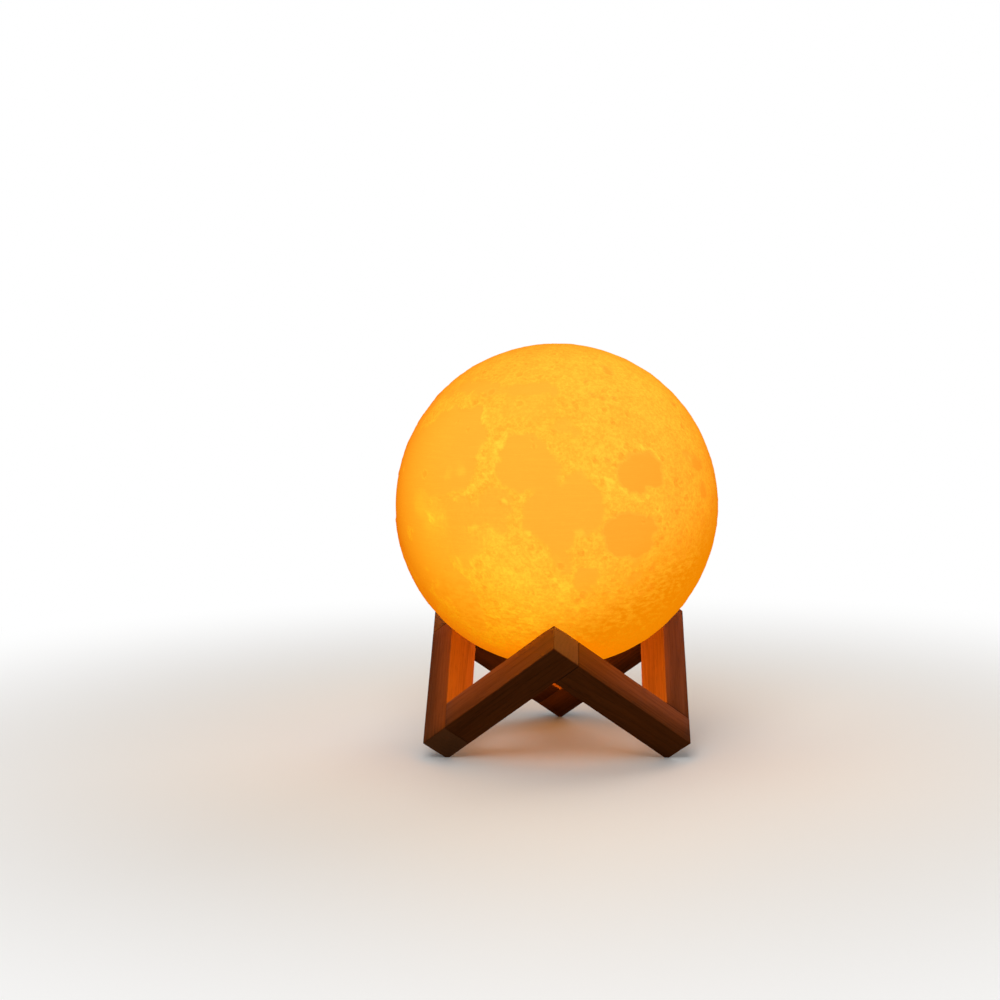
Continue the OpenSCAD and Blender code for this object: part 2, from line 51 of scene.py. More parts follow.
# %% [markdown]
# ## Camera
# The camera stands a little above the lamp, and slightly to the right of its middle. Its place and
# lens come from the outline of the globe and the corners of the stand. A photograph is rarely
# quite level, so the camera is also rolled by a fraction of a degree.

# %% Camera
EYE = Vector((0.0174, -0.8028, 0.1876))
AIM = Vector((-0.0259, -0.0014, 0.1150))
LENS_MM = 62.4
ROLL = math.radians(0.68)
NEAREST = 0.01


def put_in_scene(name, data):
    """Makes an object of a mesh, a light or a camera, and links it to the scene."""
    thing = bpy.data.objects.new(name, data)
    bpy.context.scene.collection.objects.link(thing)
    return thing


def looking(where, towards):
    """Matrix of a camera or a light that stands at one point and faces another."""
    turn = (Vector(towards) - Vector(where)).to_track_quat("-Z", "Y").to_matrix().to_4x4()
    return Matrix.Translation(where) @ turn


camera_data = bpy.data.cameras.new("camera")
camera_data.lens = LENS_MM
camera_data.clip_start = NEAREST
camera = put_in_scene("camera", camera_data)
camera.matrix_world = looking(EYE, AIM) @ Matrix.Rotation(-ROLL, 4, "Z")
bpy.context.scene.camera = camera
bpy.context.scene.view_settings.view_transform = "Standard"
print("camera is", round((AIM - EYE).length, 3), "m from its aim")

# %% [markdown]
# ## Building a material
# A material is a tree of nodes, and by hand each node takes several lines. Small helpers keep the
# trees short to write: they add a node and feed its sockets, start a material or a node group, wire
# a group to a shader, and do the sums, mixes and noise that every finish needs.

# %% Helpers for node trees
def feed(tree, value, socket):
    """Links a socket to another one, or sets it to a plain value."""
    if isinstance(value, bpy.types.NodeSocket):
        tree.links.new(value, socket)
    else:
        socket.default_value = value


def add(tree, kind, settings=None, **inputs):
    """Adds a node with its own options. Inputs go by name, or by number as in _0."""
    node = tree.nodes.new("ShaderNode" + kind)
    for name, value in (settings or {}).items():
        setattr(node, name, value)
    for name, value in inputs.items():
        key = int(name[1:]) if name[0] == "_" else name.replace("_", " ")
        feed(tree, value, node.inputs[key])
    return node


def set_sockets(node, **values):
    """Sets a node's own sockets to plain values."""
    for name, value in values.items():
        node.inputs[name.replace("_", " ")].default_value = value


def start_material(name):
    """A new material with a Principled shader: returns the material, its tree and the shader."""
    material = bpy.data.materials.new(name)
    material.use_nodes = True
    tree = material.node_tree
    return material, tree, tree.nodes["Principled BSDF"]


def start_group(name, inputs, outputs):
    """A shader node group with named sockets: returns the tree, its input node and its output node."""
    tree = bpy.data.node_groups.new(name, "ShaderNodeTree")
    for socket_name, kind, value in inputs:
        socket = tree.interface.new_socket(socket_name, in_out="INPUT", socket_type="NodeSocket" + kind)
        if value is not None:
            socket.default_value = value
    for socket_name, kind in outputs:
        tree.interface.new_socket(socket_name, in_out="OUTPUT", socket_type="NodeSocket" + kind)
    return tree, tree.nodes.new("NodeGroupInput"), tree.nodes.new("NodeGroupOutput")


def use_group(tree, group, **inputs):
    """Places a node group in a material's tree, with its own values."""
    return add(tree, "Group", {"node_tree": group}, **inputs)


def wire_surface(tree, shader, surface, strength, depth):
    """Links a group's colour, gloss and height to a material's shader."""
    feed(tree, surface.outputs["Color"], shader.inputs["Base Color"])
    feed(tree, surface.outputs["Roughness"], shader.inputs["Roughness"])
    bump = add(tree, "Bump", Height=surface.outputs["Height"], Strength=strength, Distance=depth)
    feed(tree, bump.outputs[0], shader.inputs["Normal"])


print("helpers for trees are ready")


# %% Sums and mixes for node trees
def mix_colours(tree, share, first, second, blend="MIX"):
    """A colour between two others. All helpers of this cell hand back an output socket."""
    return add(tree, "Mix", {"data_type": "RGBA", "blend_type": blend},
               _0=share, _6=first, _7=second).outputs[2]


def calculate(tree, operation, *values):
    """A sum with one or two numbers."""
    node = add(tree, "Math", {"operation": operation})
    for value, socket in zip(values, node.inputs):
        feed(tree, value, socket)
    return node.outputs[0]


def calculate_vector(tree, operation, *values):
    """A sum with one or two vectors, or with a vector and a scale."""
    node = add(tree, "VectorMath", {"operation": operation})
    sockets = (node.inputs[0], node.inputs["Scale"]) if operation == "SCALE" else node.inputs
    for value, socket in zip(values, sockets):
        feed(tree, value, socket)
    return node.outputs["Value" if operation in ("LENGTH", "DOT_PRODUCT") else "Vector"]


def clip(tree, value):
    """Keeps a value between 0 and 1."""
    return calculate(tree, "MINIMUM", calculate(tree, "MAXIMUM", value, 0.0), 1.0)


def sum_of(tree, *terms):
    """Adds up sockets, each times its share."""
    total = None
    for value, share in terms:
        part = calculate(tree, "MULTIPLY", value, share)
        total = part if total is None else calculate(tree, "ADD", total, part)
    return total


def spread_out(tree, value, low, high, to_low=0.0, to_high=1.0):
    """Maps low..high to to_low..to_high with a soft start and end."""
    return add(tree, "MapRange", {"interpolation_type": "SMOOTHSTEP"}, Value=value, From_Min=low,
               From_Max=high, To_Min=to_low, To_Max=to_high).outputs[0]


def clouds(tree, place, scale, detail, roughness=0.5):
    """Noise from 0 to 1, with features of about 1/scale metres."""
    return add(tree, "TexNoise", {"normalize": True}, Vector=place, Scale=scale, Detail=detail,
               Roughness=roughness).outputs["Fac"]


def speckles(tree, place, scale):
    """Distance to the nearest of many scattered points, in units of 1/scale metres."""
    return add(tree, "TexVoronoi", {"feature": "F1"}, Vector=place, Scale=scale).outputs["Distance"]


print("helpers for sums are ready")


# %% Colours
def rgba(red, green, blue):
    """A colour in sRGB parts of 255, turned into the linear light that shaders use."""
    def linear(part):
        share = part / 255
        return share / 12.92 if share <= 0.04045 else ((share + 0.055) / 1.055) ** 2.4
    return (linear(red), linear(green), linear(blue), 1.0)


print("mid grey is", round(rgba(128, 128, 128)[0], 3), "in linear light")

# %% [markdown]
# ## Studio
# A plain pale floor that runs into a white background, and soft lights. The floor is lit near the
# lamp, where it takes the lamp's glow and shadow, and turns into plain white further out, so that
# no horizon shows. That white is seen by the camera and by reflections alone: it adds no light.

# %% Floor
FLOOR_SIZE = 6.0
FLOOR_COLOUR = rgba(238, 237, 234)
BOUNCE_COLOUR = rgba(164, 161, 155)
FADE_START, FADE_END = 0.12, 0.50


def seen_directly(tree):
    """1 for what the camera, a reflection or a clear part shows, and 0 for light that bounces."""
    ray = add(tree, "LightPath")
    sees = calculate(tree, "MAXIMUM", ray.outputs["Is Camera Ray"], ray.outputs["Is Glossy Ray"])
    return calculate(tree, "MAXIMUM", sees, ray.outputs["Is Transmission Ray"])


bm = bmesh.new()
bmesh.ops.create_grid(bm, x_segments=1, y_segments=1, size=FLOOR_SIZE / 2)
floor_mesh = bpy.data.meshes.new("floor")
bm.to_mesh(floor_mesh)
bm.free()
floor = put_in_scene("floor", floor_mesh)

material, tree, shader = start_material("floor")
set_sockets(shader, Roughness=0.7)
place = add(tree, "TexCoord").outputs["Object"]
distance = calculate_vector(tree, "LENGTH", place)
sees = seen_directly(tree)
feed(tree, mix_colours(tree, sees, BOUNCE_COLOUR, FLOOR_COLOUR), shader.inputs["Base Color"])
fade = calculate(tree, "MULTIPLY", spread_out(tree, distance, FADE_START, FADE_END), sees)
white = add(tree, "Emission", Color=(1, 1, 1, 1), Strength=1.0).outputs[0]
blend = add(tree, "MixShader", _0=fade, _1=shader.outputs[0], _2=white)
feed(tree, blend.outputs[0], tree.nodes["Material Output"].inputs["Surface"])
floor_mesh.materials.append(material)
print("floor is", FLOOR_SIZE, "m wide, and white from", FADE_END, "m on")

# %% Background
WORLD_LIGHT = 0.16

world = bpy.data.worlds.new("studio")
bpy.context.scene.world = world
world.use_nodes = True
tree = world.node_tree
background = tree.nodes["Background"]
set_sockets(background, Color=(1, 1, 1, 1))
strength = add(tree, "Mix", {"data_type": "FLOAT"}, _0=seen_directly(tree), _2=WORLD_LIGHT, _3=1.0)
feed(tree, strength.outputs[0], background.inputs["Strength"])
print("the background shines at", WORLD_LIGHT, "and is seen as white")

# %% Soft lights
LAMP_MIDDLE = (0, 0, 0.09)
SOFT_LIGHTS = [
    # name, place, width in metres, power in watts
    ("front_light", (-0.17, -1.10, 1.32), 0.9, 11),
    ("top_light", (-0.2, 0.1, 1.5), 1.2, 6),
    ("back_light", (0.9, 1.3, 0.9), 1.0, 6),
]

for name, where, width, power in SOFT_LIGHTS:
    light_data = bpy.data.lights.new(name, "AREA")
    light_data.size = width
    light_data.energy = power
    put_in_scene(name, light_data).matrix_world = looking(where, LAMP_MIDDLE)
print(len(SOFT_LIGHTS), "soft lights")

# %% [markdown]
# ## The moon's map
# The relief follows the real moon, so its places are written as latitude and longitude, in
# degrees. The print was put on its base with a small tilt: the map is turned about the upright
# axis, leans to the front, and rolls to the left. The construction is turned by nearly the same
# angles. The sizes of the print are the construction's own.

# %% From the map to the globe
GLOBE_R = 0.075
RIM_H = 0.00025
SEA_DEPTH = 0.0004
WALL = 0.0022
MOUTH_R = 0.022
NECK_WALL = 0.0022
NECK_H = 0.009
HIGH_R = GLOBE_R - RIM_H
INNER_R = HIGH_R - WALL
MAP_TURN, MAP_LEAN, MAP_ROLL = (math.radians(a) for a in (-25.3, 4.0, -5.6))

mouth_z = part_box("base_cap")[0].z
centre = Vector((0, 0, mouth_z + math.sqrt(HIGH_R**2 - MOUTH_R**2)))
map_to_globe = (Matrix.Rotation(MAP_ROLL, 3, "Y") @ Matrix.Rotation(MAP_LEAN, 3, "X")
                @ Matrix.Rotation(MAP_TURN, 3, "Z"))


def on_map(lat, lon):
    """Direction of a place on the map. Longitude 0 faces -Y, and east is +X."""
    lat, lon = math.radians(lat), math.radians(lon)
    return Vector((math.cos(lat) * math.sin(lon), -math.cos(lat) * math.cos(lon), math.sin(lat)))


print("middle of the globe, mm:", round(1000 * centre.z, 2))

# %% [markdown]
# The dark plains, which are called seas, are a few overlapping circles each, and noise later bends
# their shores. Mountain chains are lines of places. Craters are circles with a raised rim. A map
# as a picture could give all this in one go, but circles stay sharp at any size and are easy to
# move. Their places come from a lunar atlas, and some were moved a little to fit the print. Only
# the small craters are drawn at random.

# %% Seas, chains and craters
SEAS = [
    # latitude, longitude, radius in degrees, and how much of a sea it is: above 1 is darker still
    (28, -20, 15.5, 1), (36, -17, 10, 1), (38, -11, 8.2, 1), (39, -24, 6.5, 1), (27, -32, 12, 1),
    (33, -7, 7.2, 1), (22, -8, 6.5, 1),                                                  # rains
    (24.5, 17, 10.1, 1), (21, 22.5, 7.5, 1),                                             # serenity
    (6, 27, 10.2, 1), (6, 33.5, 9.4, 1), (12, 35, 6, 1), (17, 36, 3.4, 1), (3, 21.5, 5.2, 1),
    (9, 21, 4.6, 1), (14.5, 24.5, 3.4, 1), (-3, 27, 4.2, 1),                             # tranquillity
    (-8, 27, 3.3, 0.9), (-11, 27.5, 2.8, 0.8),                                           # roughness bay
    (16, 55.5, 6.2, 1.2), (15.7, 59, 6.8, 1.2), (15.3, 62.5, 6.1, 1.2),                  # crises
    (-3.5, 50.5, 7.8, 1.2), (-2.5, 56.5, 5, 1.2), (-7.5, 54, 5.5, 1.2), (-3, 45.5, 4.2, 1.2),
    (0.5, 50, 4.5, 1.2), (-12, 53, 3.2, 0.7), (-19.5, 51.5, 2.6, 0.8),                   # fecundity
    (-17.2, 35.2, 5.2, 0.95),                                                            # nectar
    (55.5, -28, 3, 1), (56, -20, 3.4, 1), (55.5, -12, 3.2, 1), (54, -4, 3, 1), (53, 4, 2.2, 0.7),
    (52.5, 12, 3.6, 1), (52, 19, 3.6, 1), (51.5, 26, 3.4, 1), (50.5, 32, 2.6, 1), (52.5, -36, 2.5, 1),
    (44, 22, 6, 0.4), (45, 12, 4.5, 0.35), (35.4, 33.4, 3.2, 0.7), (32.6, 37.3, 1.6, 0.8),   # cold
    (9.5, 4, 4.6, 0.85), (5, 7, 4, 0.8), (1, 1, 3.5, 0.6), (9, -8, 5.5, 0.85), (4, -9, 5.5, 0.9),
    (-1, -10, 5.5, 0.9), (-3, -18, 6, 0.9), (9, -16, 6, 0.8), (12.5, 7.5, 4, 0.7), (8, 8, 4, 0.8),
    (8, -1.5, 4, 0.8), (-4, -8.5, 5.5, 0.9), (-2.5, -4, 4, 0.8),                         # vapours and bays
    (6, -27, 8, 1), (-4, -26, 8, 1), (-10, -22, 8, 1), (12, -36, 10, 1), (-12, -35, 8, 1),   # islands
    (-17, -15, 7.2, 1), (-23, -14, 7.2, 1), (-29, -13, 6.2, 1), (-20, -21, 7, 1), (-33, -15, 5, 1),
    (-24.5, -37, 6, 1),                                                                  # clouds, moisture
    (20, -52, 13, 1), (8, -48, 12, 1), (32, -56, 10, 1), (44, -58, 8, 1), (0, -48, 10, 1),
    (-6, -43, 7, 1), (10, -60, 8, 1),                                                    # the ocean
    (56.2, 73, 2.5, 1.3), (13.5, 88.5, 3.5, 1.2), (16, 84.5, 2.2, 1), (2.7, 88.7, 3.2, 1.2),
    (-5.8, 86.2, 1.8, 1), (17.8, 82.9, 1.4, 1), (8.3, 68.3, 1.3, 0.8), (4.8, 69.1, 1.1, 0.8),
    (-40, 88, 4.5, 1), (-46, 96, 4, 1), (-37, 97, 3.4, 1), (-48, 84, 3, 1),              # right limb
    (-19, -94, 5, 1), (-12, -88, 2, 1), (27, 147, 4.5, 1), (-34, 163, 4, 1), (-36, -160, 5, 1),
    (-50, -170, 9, 1), (-56, -150, 6, 1), (6, 141, 3, 1), (-20, 129, 2.5, 1),            # far side
]
CHAINS = [
    # width in degrees, height as a share, then the places
    (1.5, 1.0, (12.5, -8.5), (14.5, -5), (17, -1.5), (19.5, 2), (22.5, 5), (25, 6.5)),
    (1.7, 1.0, (26, 6), (29, 6.5), (31.3, 7.3), (33.5, 9)),
    (1.2, 0.8, (34, 10.5), (35, 14), (34.8, 19), (32.5, 24)),
    (1.4, 0.9, (36, 2.5), (38.5, 1.6), (43, -1.1), (46, -5), (48, -10)),
    (1.0, 0.9, (39.5, -34.6), (42.5, -31.5), (44.5, -27), (46, -21), (46.8, -15.5)),
    (1.2, 0.7, (21.5, 49), (24.5, 54), (24.5, 60), (22.5, 65), (19, 68.5)),
    (1.3, 1.0, (17.5, 41), (16, 43), (14.5, 45.6), (12.5, 48.5), (9, 52), (7.5, 57), (9, 63)),
    (1.0, 0.7, (13.5, 45.5), (10.5, 44.5), (7.5, 45.5)),
    (1.2, 0.5, (14.8, 20), (14, 17), (12.8, 15.2), (11.3, 11)),
    (1.5, 0.35, (7, -16), (6.3, -20.2), (8.5, -23)),
    (1.2, 0.5, (-12, 39.5), (-17, 41), (-21, 38.5), (-22, 33)),
    (1.6, 0.5, (-18, 26), (-22, 25), (-26, 28), (-29, 33)),
]
CRATERS = [
    # latitude, longitude, radius in degrees, 1 for a dark, flooded floor
    (6.3, -20.2, 1.4, 0), (48, -10, 1.6, 1), (-43, -11, 1.6, 0), (-58, -14, 3.6, 0),
    (-9, -2, 2.4, 0), (-13.5, -3, 1.7, 0), (-18, -2, 1.5, 0), (-32, -5, 2.8, 0), (-9.3, 61, 1.6, 0),
    (-25, 60.5, 2.5, 0), (25, 56, 1.6, 0), (-45, 40, 3, 0), (-11.4, 26.4, 1.5, 0),
    (-14, 22.5, 1.4, 0), (-18, 23.6, 1.4, 0), (-41.5, 14, 1.9, 0), (46.3, 15, 1.5, 0),
    (43.8, 36, 1.5, 0), (43.7, 41, 1.4, 0), (51.7, 51.2, 1.3, 1), (45.7, 51.2, 1.2, 1),
    (44, 54.6, 1.6, 1), (42.6, 60.9, 1.4, 1), (47, 58, 1.1, 0), (-5, -68, 3.4, 1),
    (-44, -55, 3.4, 0), (28.7, 28, 1.4, 0), (11.3, 8.6, 0.7, 0), (12.8, 15.2, 0.6, 0),
    (14.5, 45.6, 0.6, 0), (3.8, 45.9, 1.4, 0), (-10.8, 43.4, 0.9, 0), (-12.3, 46.9, 0.9, 0),
    (-16.5, 61, 1.8, 0), (-21, 58, 1.5, 0), (-29.5, 33, 1.7, 0), (-23.1, 33.2, 1.7, 1),
    (-23.9, 41.4, 1.4, 1), (-23.5, 47.2, 1.4, 1), (-18.7, 44.6, 1.4, 0), (-10.5, 41.6, 1.0, 0),
    (21.7, 42.7, 1.3, 1), (21.2, 46.7, 1.2, 1), (24, 56.7, 1.0, 1), (23.5, 65.5, 1.0, 1),
    (18.3, 69.7, 1.3, 1), (38.5, 52, 1.1, 0), (40, 57, 1.2, 0), (36, 63, 1.4, 0), (34, 54, 1, 0),
    (29, 96.3, 1.6, 1), (26.8, 90.7, 1.6, 1), (34.2, 96.7, 1.5, 1), (38.6, 89.6, 1.5, 1),
    (9.7, 83.9, 1.7, 0), (5, 105, 3, 0), (24, 122, 2.4, 0), (9, 73, 1.6, 0), (-11, 72, 1.8, 0),
    (0, 72, 1.4, 0), (-33, 71, 2, 0), (-36, 62, 1.9, 0), (-31.5, -1.5, 1.5, 0), (-23.7, 0.6, 1.4, 0),
    (-2, -129, 5.2, 0), (-4, -157, 4.8, 0), (-36, -152, 5, 0), (55, -150, 3.6, 0), (45, 175, 3.6, 0),
    (-20, 178, 2.4, 0), (50, 105, 2.2, 0), (-10, 110, 2.6, 0),
]
FRESH = [
    # bright young ground: latitude, longitude, radius in degrees, brightness (below 0 for darker ground:
    # dark craters, and painted shade at the right edge of the disc)
    (6.3, -20.2, 1.5, 0.65), (11.3, 8.6, 1.3, 1.0), (12.8, 15.2, 1.5, 0.7), (12.6, 22.4, 1.1, 0.6),
    (-0.4, 17, 1.1, 0.85), (28.7, 28, 1.8, 0.6), (23.2, 34.4, 1.2, 0.8), (18.1, 38.8, 1.3, 0.8),
    (25.7, 45.2, 1.3, 0.6), (23.3, 62.7, 1.1, 1.0), (22.5, 49.5, 1.0, 0.6), (14.5, 45.6, 2.4, 0.6),
    (42.1, 25.5, 0.9, 0.8), (42.3, 17.6, 0.9, 0.7), (47.2, 7.9, 1.0, 0.5), (31.3, 7.3, 1.2, 0.35),
    (30.7, 0.5, 2.2, 0.4), (25.5, 1.3, 2.4, 0.4), (22.8, -7.4, 2.8, 0.35), (21.1, -12.9, 2.2, 0.25),
    (-6.8, -5, 1.4, 0.7), (-7.7, -9.4, 1.2, 0.5), (-10.5, 8.3, 1.5, 0.8), (-13.1, 20.7, 0.9, 1.0),
    (-8.5, 18.4, 2.4, 0.4), (-6.3, 22, 1.8, 0.6), (-15.9, 23.3, 1.3, 1.0), (-18.5, 27.4, 1.9, 0.5),
    (-2.6, 33.8, 1.7, 0.45), (-10.8, 43.4, 1.0, 0.7), (-12.3, 46.9, 0.9, 0.6), (-9.3, 61, 1.3, 0.8),
    (1.7, 63.4, 0.9, 0.5), (15.7, 85, 1.2, 0.7), (-13.4, 31.2, 0.8, 0.6), (15.8, 30.7, 1.6, 0.3),
    (18.4, 29.7, 1.5, 0.3), (4.2, -1.8, 1.9, 0.6), (0.8, 1.1, 1.7, 0.6), (2, 4, 1.6, 0.5),
    (-10.8, -27.9, 1.3, 0.4), (-18, -24.3, 1.7, 0.4), (-23.9, -22.4, 1.3, 0.4), (20.1, -46.8, 1.5, 1.0),
    (6.3, -20.2, 7.5, 0.28), (10.9, -27.8, 5, 0.3), (-43, -11, 4, 0.5), (-26, 51, 1.2, 0.5),
    (40, -0.7, 1.1, 0.5), (-9, 6, 15, 0.35), (-22, 16, 12, 0.25), (24, 42, 12, 0.15),
    (68, -40, 30, -0.3), (80, 60, 18, -0.2), (0, 90, 30, -0.4),
]
print(len(SEAS), "circles of sea,", len(CHAINS), "chains,", len(CRATERS), "craters,",
      len(FRESH), "bright or dull places")

# %% [markdown]
# ## The ball
# A ball could be made as rings and segments, but its points crowd at the poles, and relief looks
# pinched there. Here a cube is divided evenly and blown up to a ball, so that all its faces are
# about as large. Each point is first moved by a tangent, which evens out the rows.

# %% Ball from a divided cube
CELLS = 124
QUARTER = math.pi / 4

moon = bmesh.new()
bmesh.ops.create_cube(moon, size=2)
bmesh.ops.subdivide_edges(moon, edges=moon.edges[:], cuts=CELLS - 1, use_grid_fill=True)
for vertex in moon.verts:
    vertex.co = Vector([math.tan(QUARTER * part) for part in vertex.co]).normalized()
print(len(moon.verts), "points,", round(1000 * HIGH_R * QUARTER * 2 / CELLS, 2), "mm apart")

# %% [markdown]
# ## Relief
# Every point of the ball gets a height above or below the highlands, and four masks that the
# finish reads later: how much it is sea, how bright its ground is, how deep it lies in a crater,
# which becomes painted shade in the bowl and a painted highlight on the rim, and how high on a
# mountain chain. A search tree finds the points near a place, so that no feature has to visit them
# all. Noise by vectors starts from a drawn place, so its seed is set, or no two runs would agree.

# %% Directions on the map, and warped ones for ragged shores
SHORE_WARP = 0.036
SHORE_SCALE = 7
OCTAVES = 4
NOISE_SEED = 66

noise.seed_set(NOISE_SEED)
to_map = map_to_globe.transposed()
points = [to_map @ vertex.co for vertex in moon.verts]
near = kdtree.KDTree(len(points))
near_ragged = kdtree.KDTree(len(points))
for index, point in enumerate(points):
    near.insert(point, index)
    warp = noise.turbulence_vector(point * SHORE_SCALE, OCTAVES, False,
                                   amplitude_scale=0.6, frequency_scale=2.2)
    near_ragged.insert(point + SHORE_WARP * warp, index)
near.balance()
near_ragged.balance()


def soft_step(value):
    """0 below 0, 1 above 1, and a smooth curve between them."""
    value = min(max(value, 0.0), 1.0)
    return value * value * (3 - 2 * value)


def chord(degrees):
    """Straight distance across an angle on a ball of radius 1."""
    return 2 * math.sin(math.radians(degrees) / 2)


print("two search trees over", len(points), "points")

# %% Seas, mountain chains and bright ground
SHORE = 0.013
CHAIN_STEPS = 4
CHAIN_CLEARS = 2
FRESH_REACH = 1.25
sea = [0.0] * len(points)
chain = [0.0] * len(points)
bright = [0.0] * len(points)

for lat, lon, radius, amount in SEAS:
    for _, index, gap in near_ragged.find_range(on_map(lat, lon), chord(radius) + SHORE):
        sea[index] = max(sea[index], amount * soft_step((chord(radius) + SHORE - gap) / (2 * SHORE)))
for width, height, *places in CHAINS:
    for first, last in zip(places, places[1:]):
        start, end = on_map(*first), on_map(*last)
        for step in range(CHAIN_STEPS + 1):
            spot = start.lerp(end, step / CHAIN_STEPS).normalized()
            for _, index, gap in near_ragged.find_range(spot, chord(width)):
                chain[index] = max(chain[index], height * soft_step(1 - gap / chord(width)))
for lat, lon, radius, amount in FRESH:
    for _, index, gap in near_ragged.find_range(on_map(lat, lon), chord(FRESH_REACH * radius)):
        bright[index] += amount * soft_step(FRESH_REACH - gap / chord(radius))
sea = [amount * (1 - soft_step(CHAIN_CLEARS * height)) for amount, height in zip(sea, chain)]
print("sea covers", round(100 * sum(sea) / len(sea)), "% of the globe")

# %% Heights: rough highlands and flat seas
ROUGHNESS = ((9, 0.00016), (28, 0.00012))    # scale of the noise, and height in metres
ROUGH_FALL, ROUGH_STEP = 0.8, 2.1
FLAT_SHARE = 0.12
CHAIN_H = 0.00035
heights = []

for index, point in enumerate(points):
    rough = sum(amount * noise.fractal(point * scale, ROUGH_FALL, ROUGH_STEP, OCTAVES)
                for scale, amount in ROUGHNESS)
    land = 1 - sea[index]
    heights.append(rough * (FLAT_SHARE + (1 - FLAT_SHARE) * land) + CHAIN_H * chain[index]
                   - SEA_DEPTH * sea[index])
print("ground from", round(1000 * min(heights), 2), "to", round(1000 * max(heights), 2), "mm")

# %% [markdown]
# A crater is a bowl with a steep wall, and a raised rim that falls away outside. A curve over the
# distance from its middle gives both: a soft step for the bowl, and a bell curve for the rim. The
# sizes of craters are in degrees, and their depths in metres: a first part, and more for each
# degree. A flooded floor counts as sea, and as darker than most seas.

# %% Craters with rims
CRATER_REACH = 1.6
SLOPE = 0.45
CREST_AT, CREST_W = 1.02, 0.2
PIT_SHADE, CREST_HIGHLIGHT = 0.7, 0.5
DEPTH, DEEPER, RIM = 0.00034, 0.00003, 0.0002
FLOODED = 1.3
FLOOD_SHARE = 0.9
pit = [0.0] * len(points)


def press_crater(lat, lon, radius, depth, rim):
    """Presses a bowl into the relief, and raises a rim round it that falls away outside. Its pit mask
    paints shade in the bowl and a highlight on the rim.
    """
    for _, index, gap in near.find_range(on_map(lat, lon), chord(CRATER_REACH * radius)):
        share = gap / chord(radius)
        bowl = soft_step((1.0 - share) / SLOPE)
        crest = math.exp(-((share - CREST_AT) / CREST_W) ** 2)
        heights[index] += rim * crest - depth * bowl
        # Painted shade in the bowl, and a painted highlight on the rim.
        pit[index] = max(pit[index] * (1 - bowl), 0) + bowl * PIT_SHADE - CREST_HIGHLIGHT * crest


for lat, lon, radius, flooded in CRATERS:
    press_crater(lat, lon, radius, DEPTH + DEEPER * radius, RIM)
    if flooded:
        lake = chord(FLOOD_SHARE * radius)
        for _, index, gap in near_ragged.find_range(on_map(lat, lon), lake):
            sea[index] = max(sea[index], FLOODED * soft_step((lake - gap) / SHORE))
print(sum(crater[3] for crater in CRATERS), "of", len(CRATERS), "craters have a dark floor")

# %% Small craters, drawn at random
SMALL_CRATERS = 900
DRAW_SEED = 5
SMALL_R, SMALL_SPREAD = 0.55, 1.3
SMALL_DEPTH, SMALL_DEEPER, SMALL_RIM = 0.00012, 0.00009, 0.00007
SEA_LIMIT = 0.3
SEA_CHANCE = 0.06

draw = random.Random(DRAW_SEED)
pressed = 0
for count in range(SMALL_CRATERS):
    lat = math.degrees(math.asin(draw.uniform(-1, 1)))
    lon = draw.uniform(-180, 180)
    radius = SMALL_R + SMALL_SPREAD * draw.random() ** 3
    _, index, _ = near.find(on_map(lat, lon))
    if sea[index] < SEA_LIMIT or draw.random() < SEA_CHANCE:
        press_crater(lat, lon, radius, SMALL_DEPTH + SMALL_DEEPER * radius, SMALL_RIM)
        pressed += 1
print(pressed, "small craters; heights from", round(1000 * min(heights), 2), "to",
      round(1000 * max(heights), 2), "mm")

# %% [markdown]
# Round the opening at the bottom the relief fades out, because a smooth cap sits there. The
# heights then move the points, and the masks are stored on them as attributes.

# %% Move the points and keep the masks
CALM_START, CALM_END = 0.045, 0.026
masks = {"sea": sea, "bright": bright, "pit": pit, "chain": chain}

layers = {name: moon.verts.layers.float.new(name) for name in masks}
for index, vertex in enumerate(moon.verts):
    direction = vertex.co.copy()
    from_axis = math.hypot(direction.x, direction.y) * HIGH_R
    calm = 1 - soft_step((CALM_START - from_axis) / (CALM_START - CALM_END)) * (direction.z < 0)
    height = min(heights[index] * calm, RIM_H)
    vertex.co = centre + direction * (HIGH_R + height)
    pit[index] *= calm
    for name, values in masks.items():
        vertex[layers[name]] = values[index]
print("relief is on the ball, with masks", ", ".join(masks))

# %% [markdown]
# ## Opening, neck and inner wall
# The print is hollow, 2.2 mm thick, with a neck inside its opening. The ball is cut off flat at the
# cap's face. The edge of the cut is then pulled along the profile of the neck and the inner wall,
# ring by ring, up to the top, where the last ring closes. One closed mesh comes out.

# %% Cut the opening and pull the inside
JOIN_DIST = 1e-7
UP = (0, 0, 1)
INNER_RINGS = 22


def cut_across(bm, place, direction, clear_behind=False):
    """Cuts all faces at a plane, and can clear what lies behind it. Hands back the cut."""
    return bmesh.ops.bisect_plane(bm, geom=bm.verts[:] + bm.edges[:] + bm.faces[:], dist=JOIN_DIST,
                                  plane_co=place, plane_no=direction,
                                  clear_inner=clear_behind)["geom_cut"]


def edges_of(items):
    """The edges among what an operator hands back."""
    return [item for item in items if isinstance(item, bmesh.types.BMEdge)]


def open_edges(bm):
    """How many edges don't join exactly two faces: 0 in a closed mesh."""
    return sum(1 for edge in bm.edges if not edge.is_manifold)


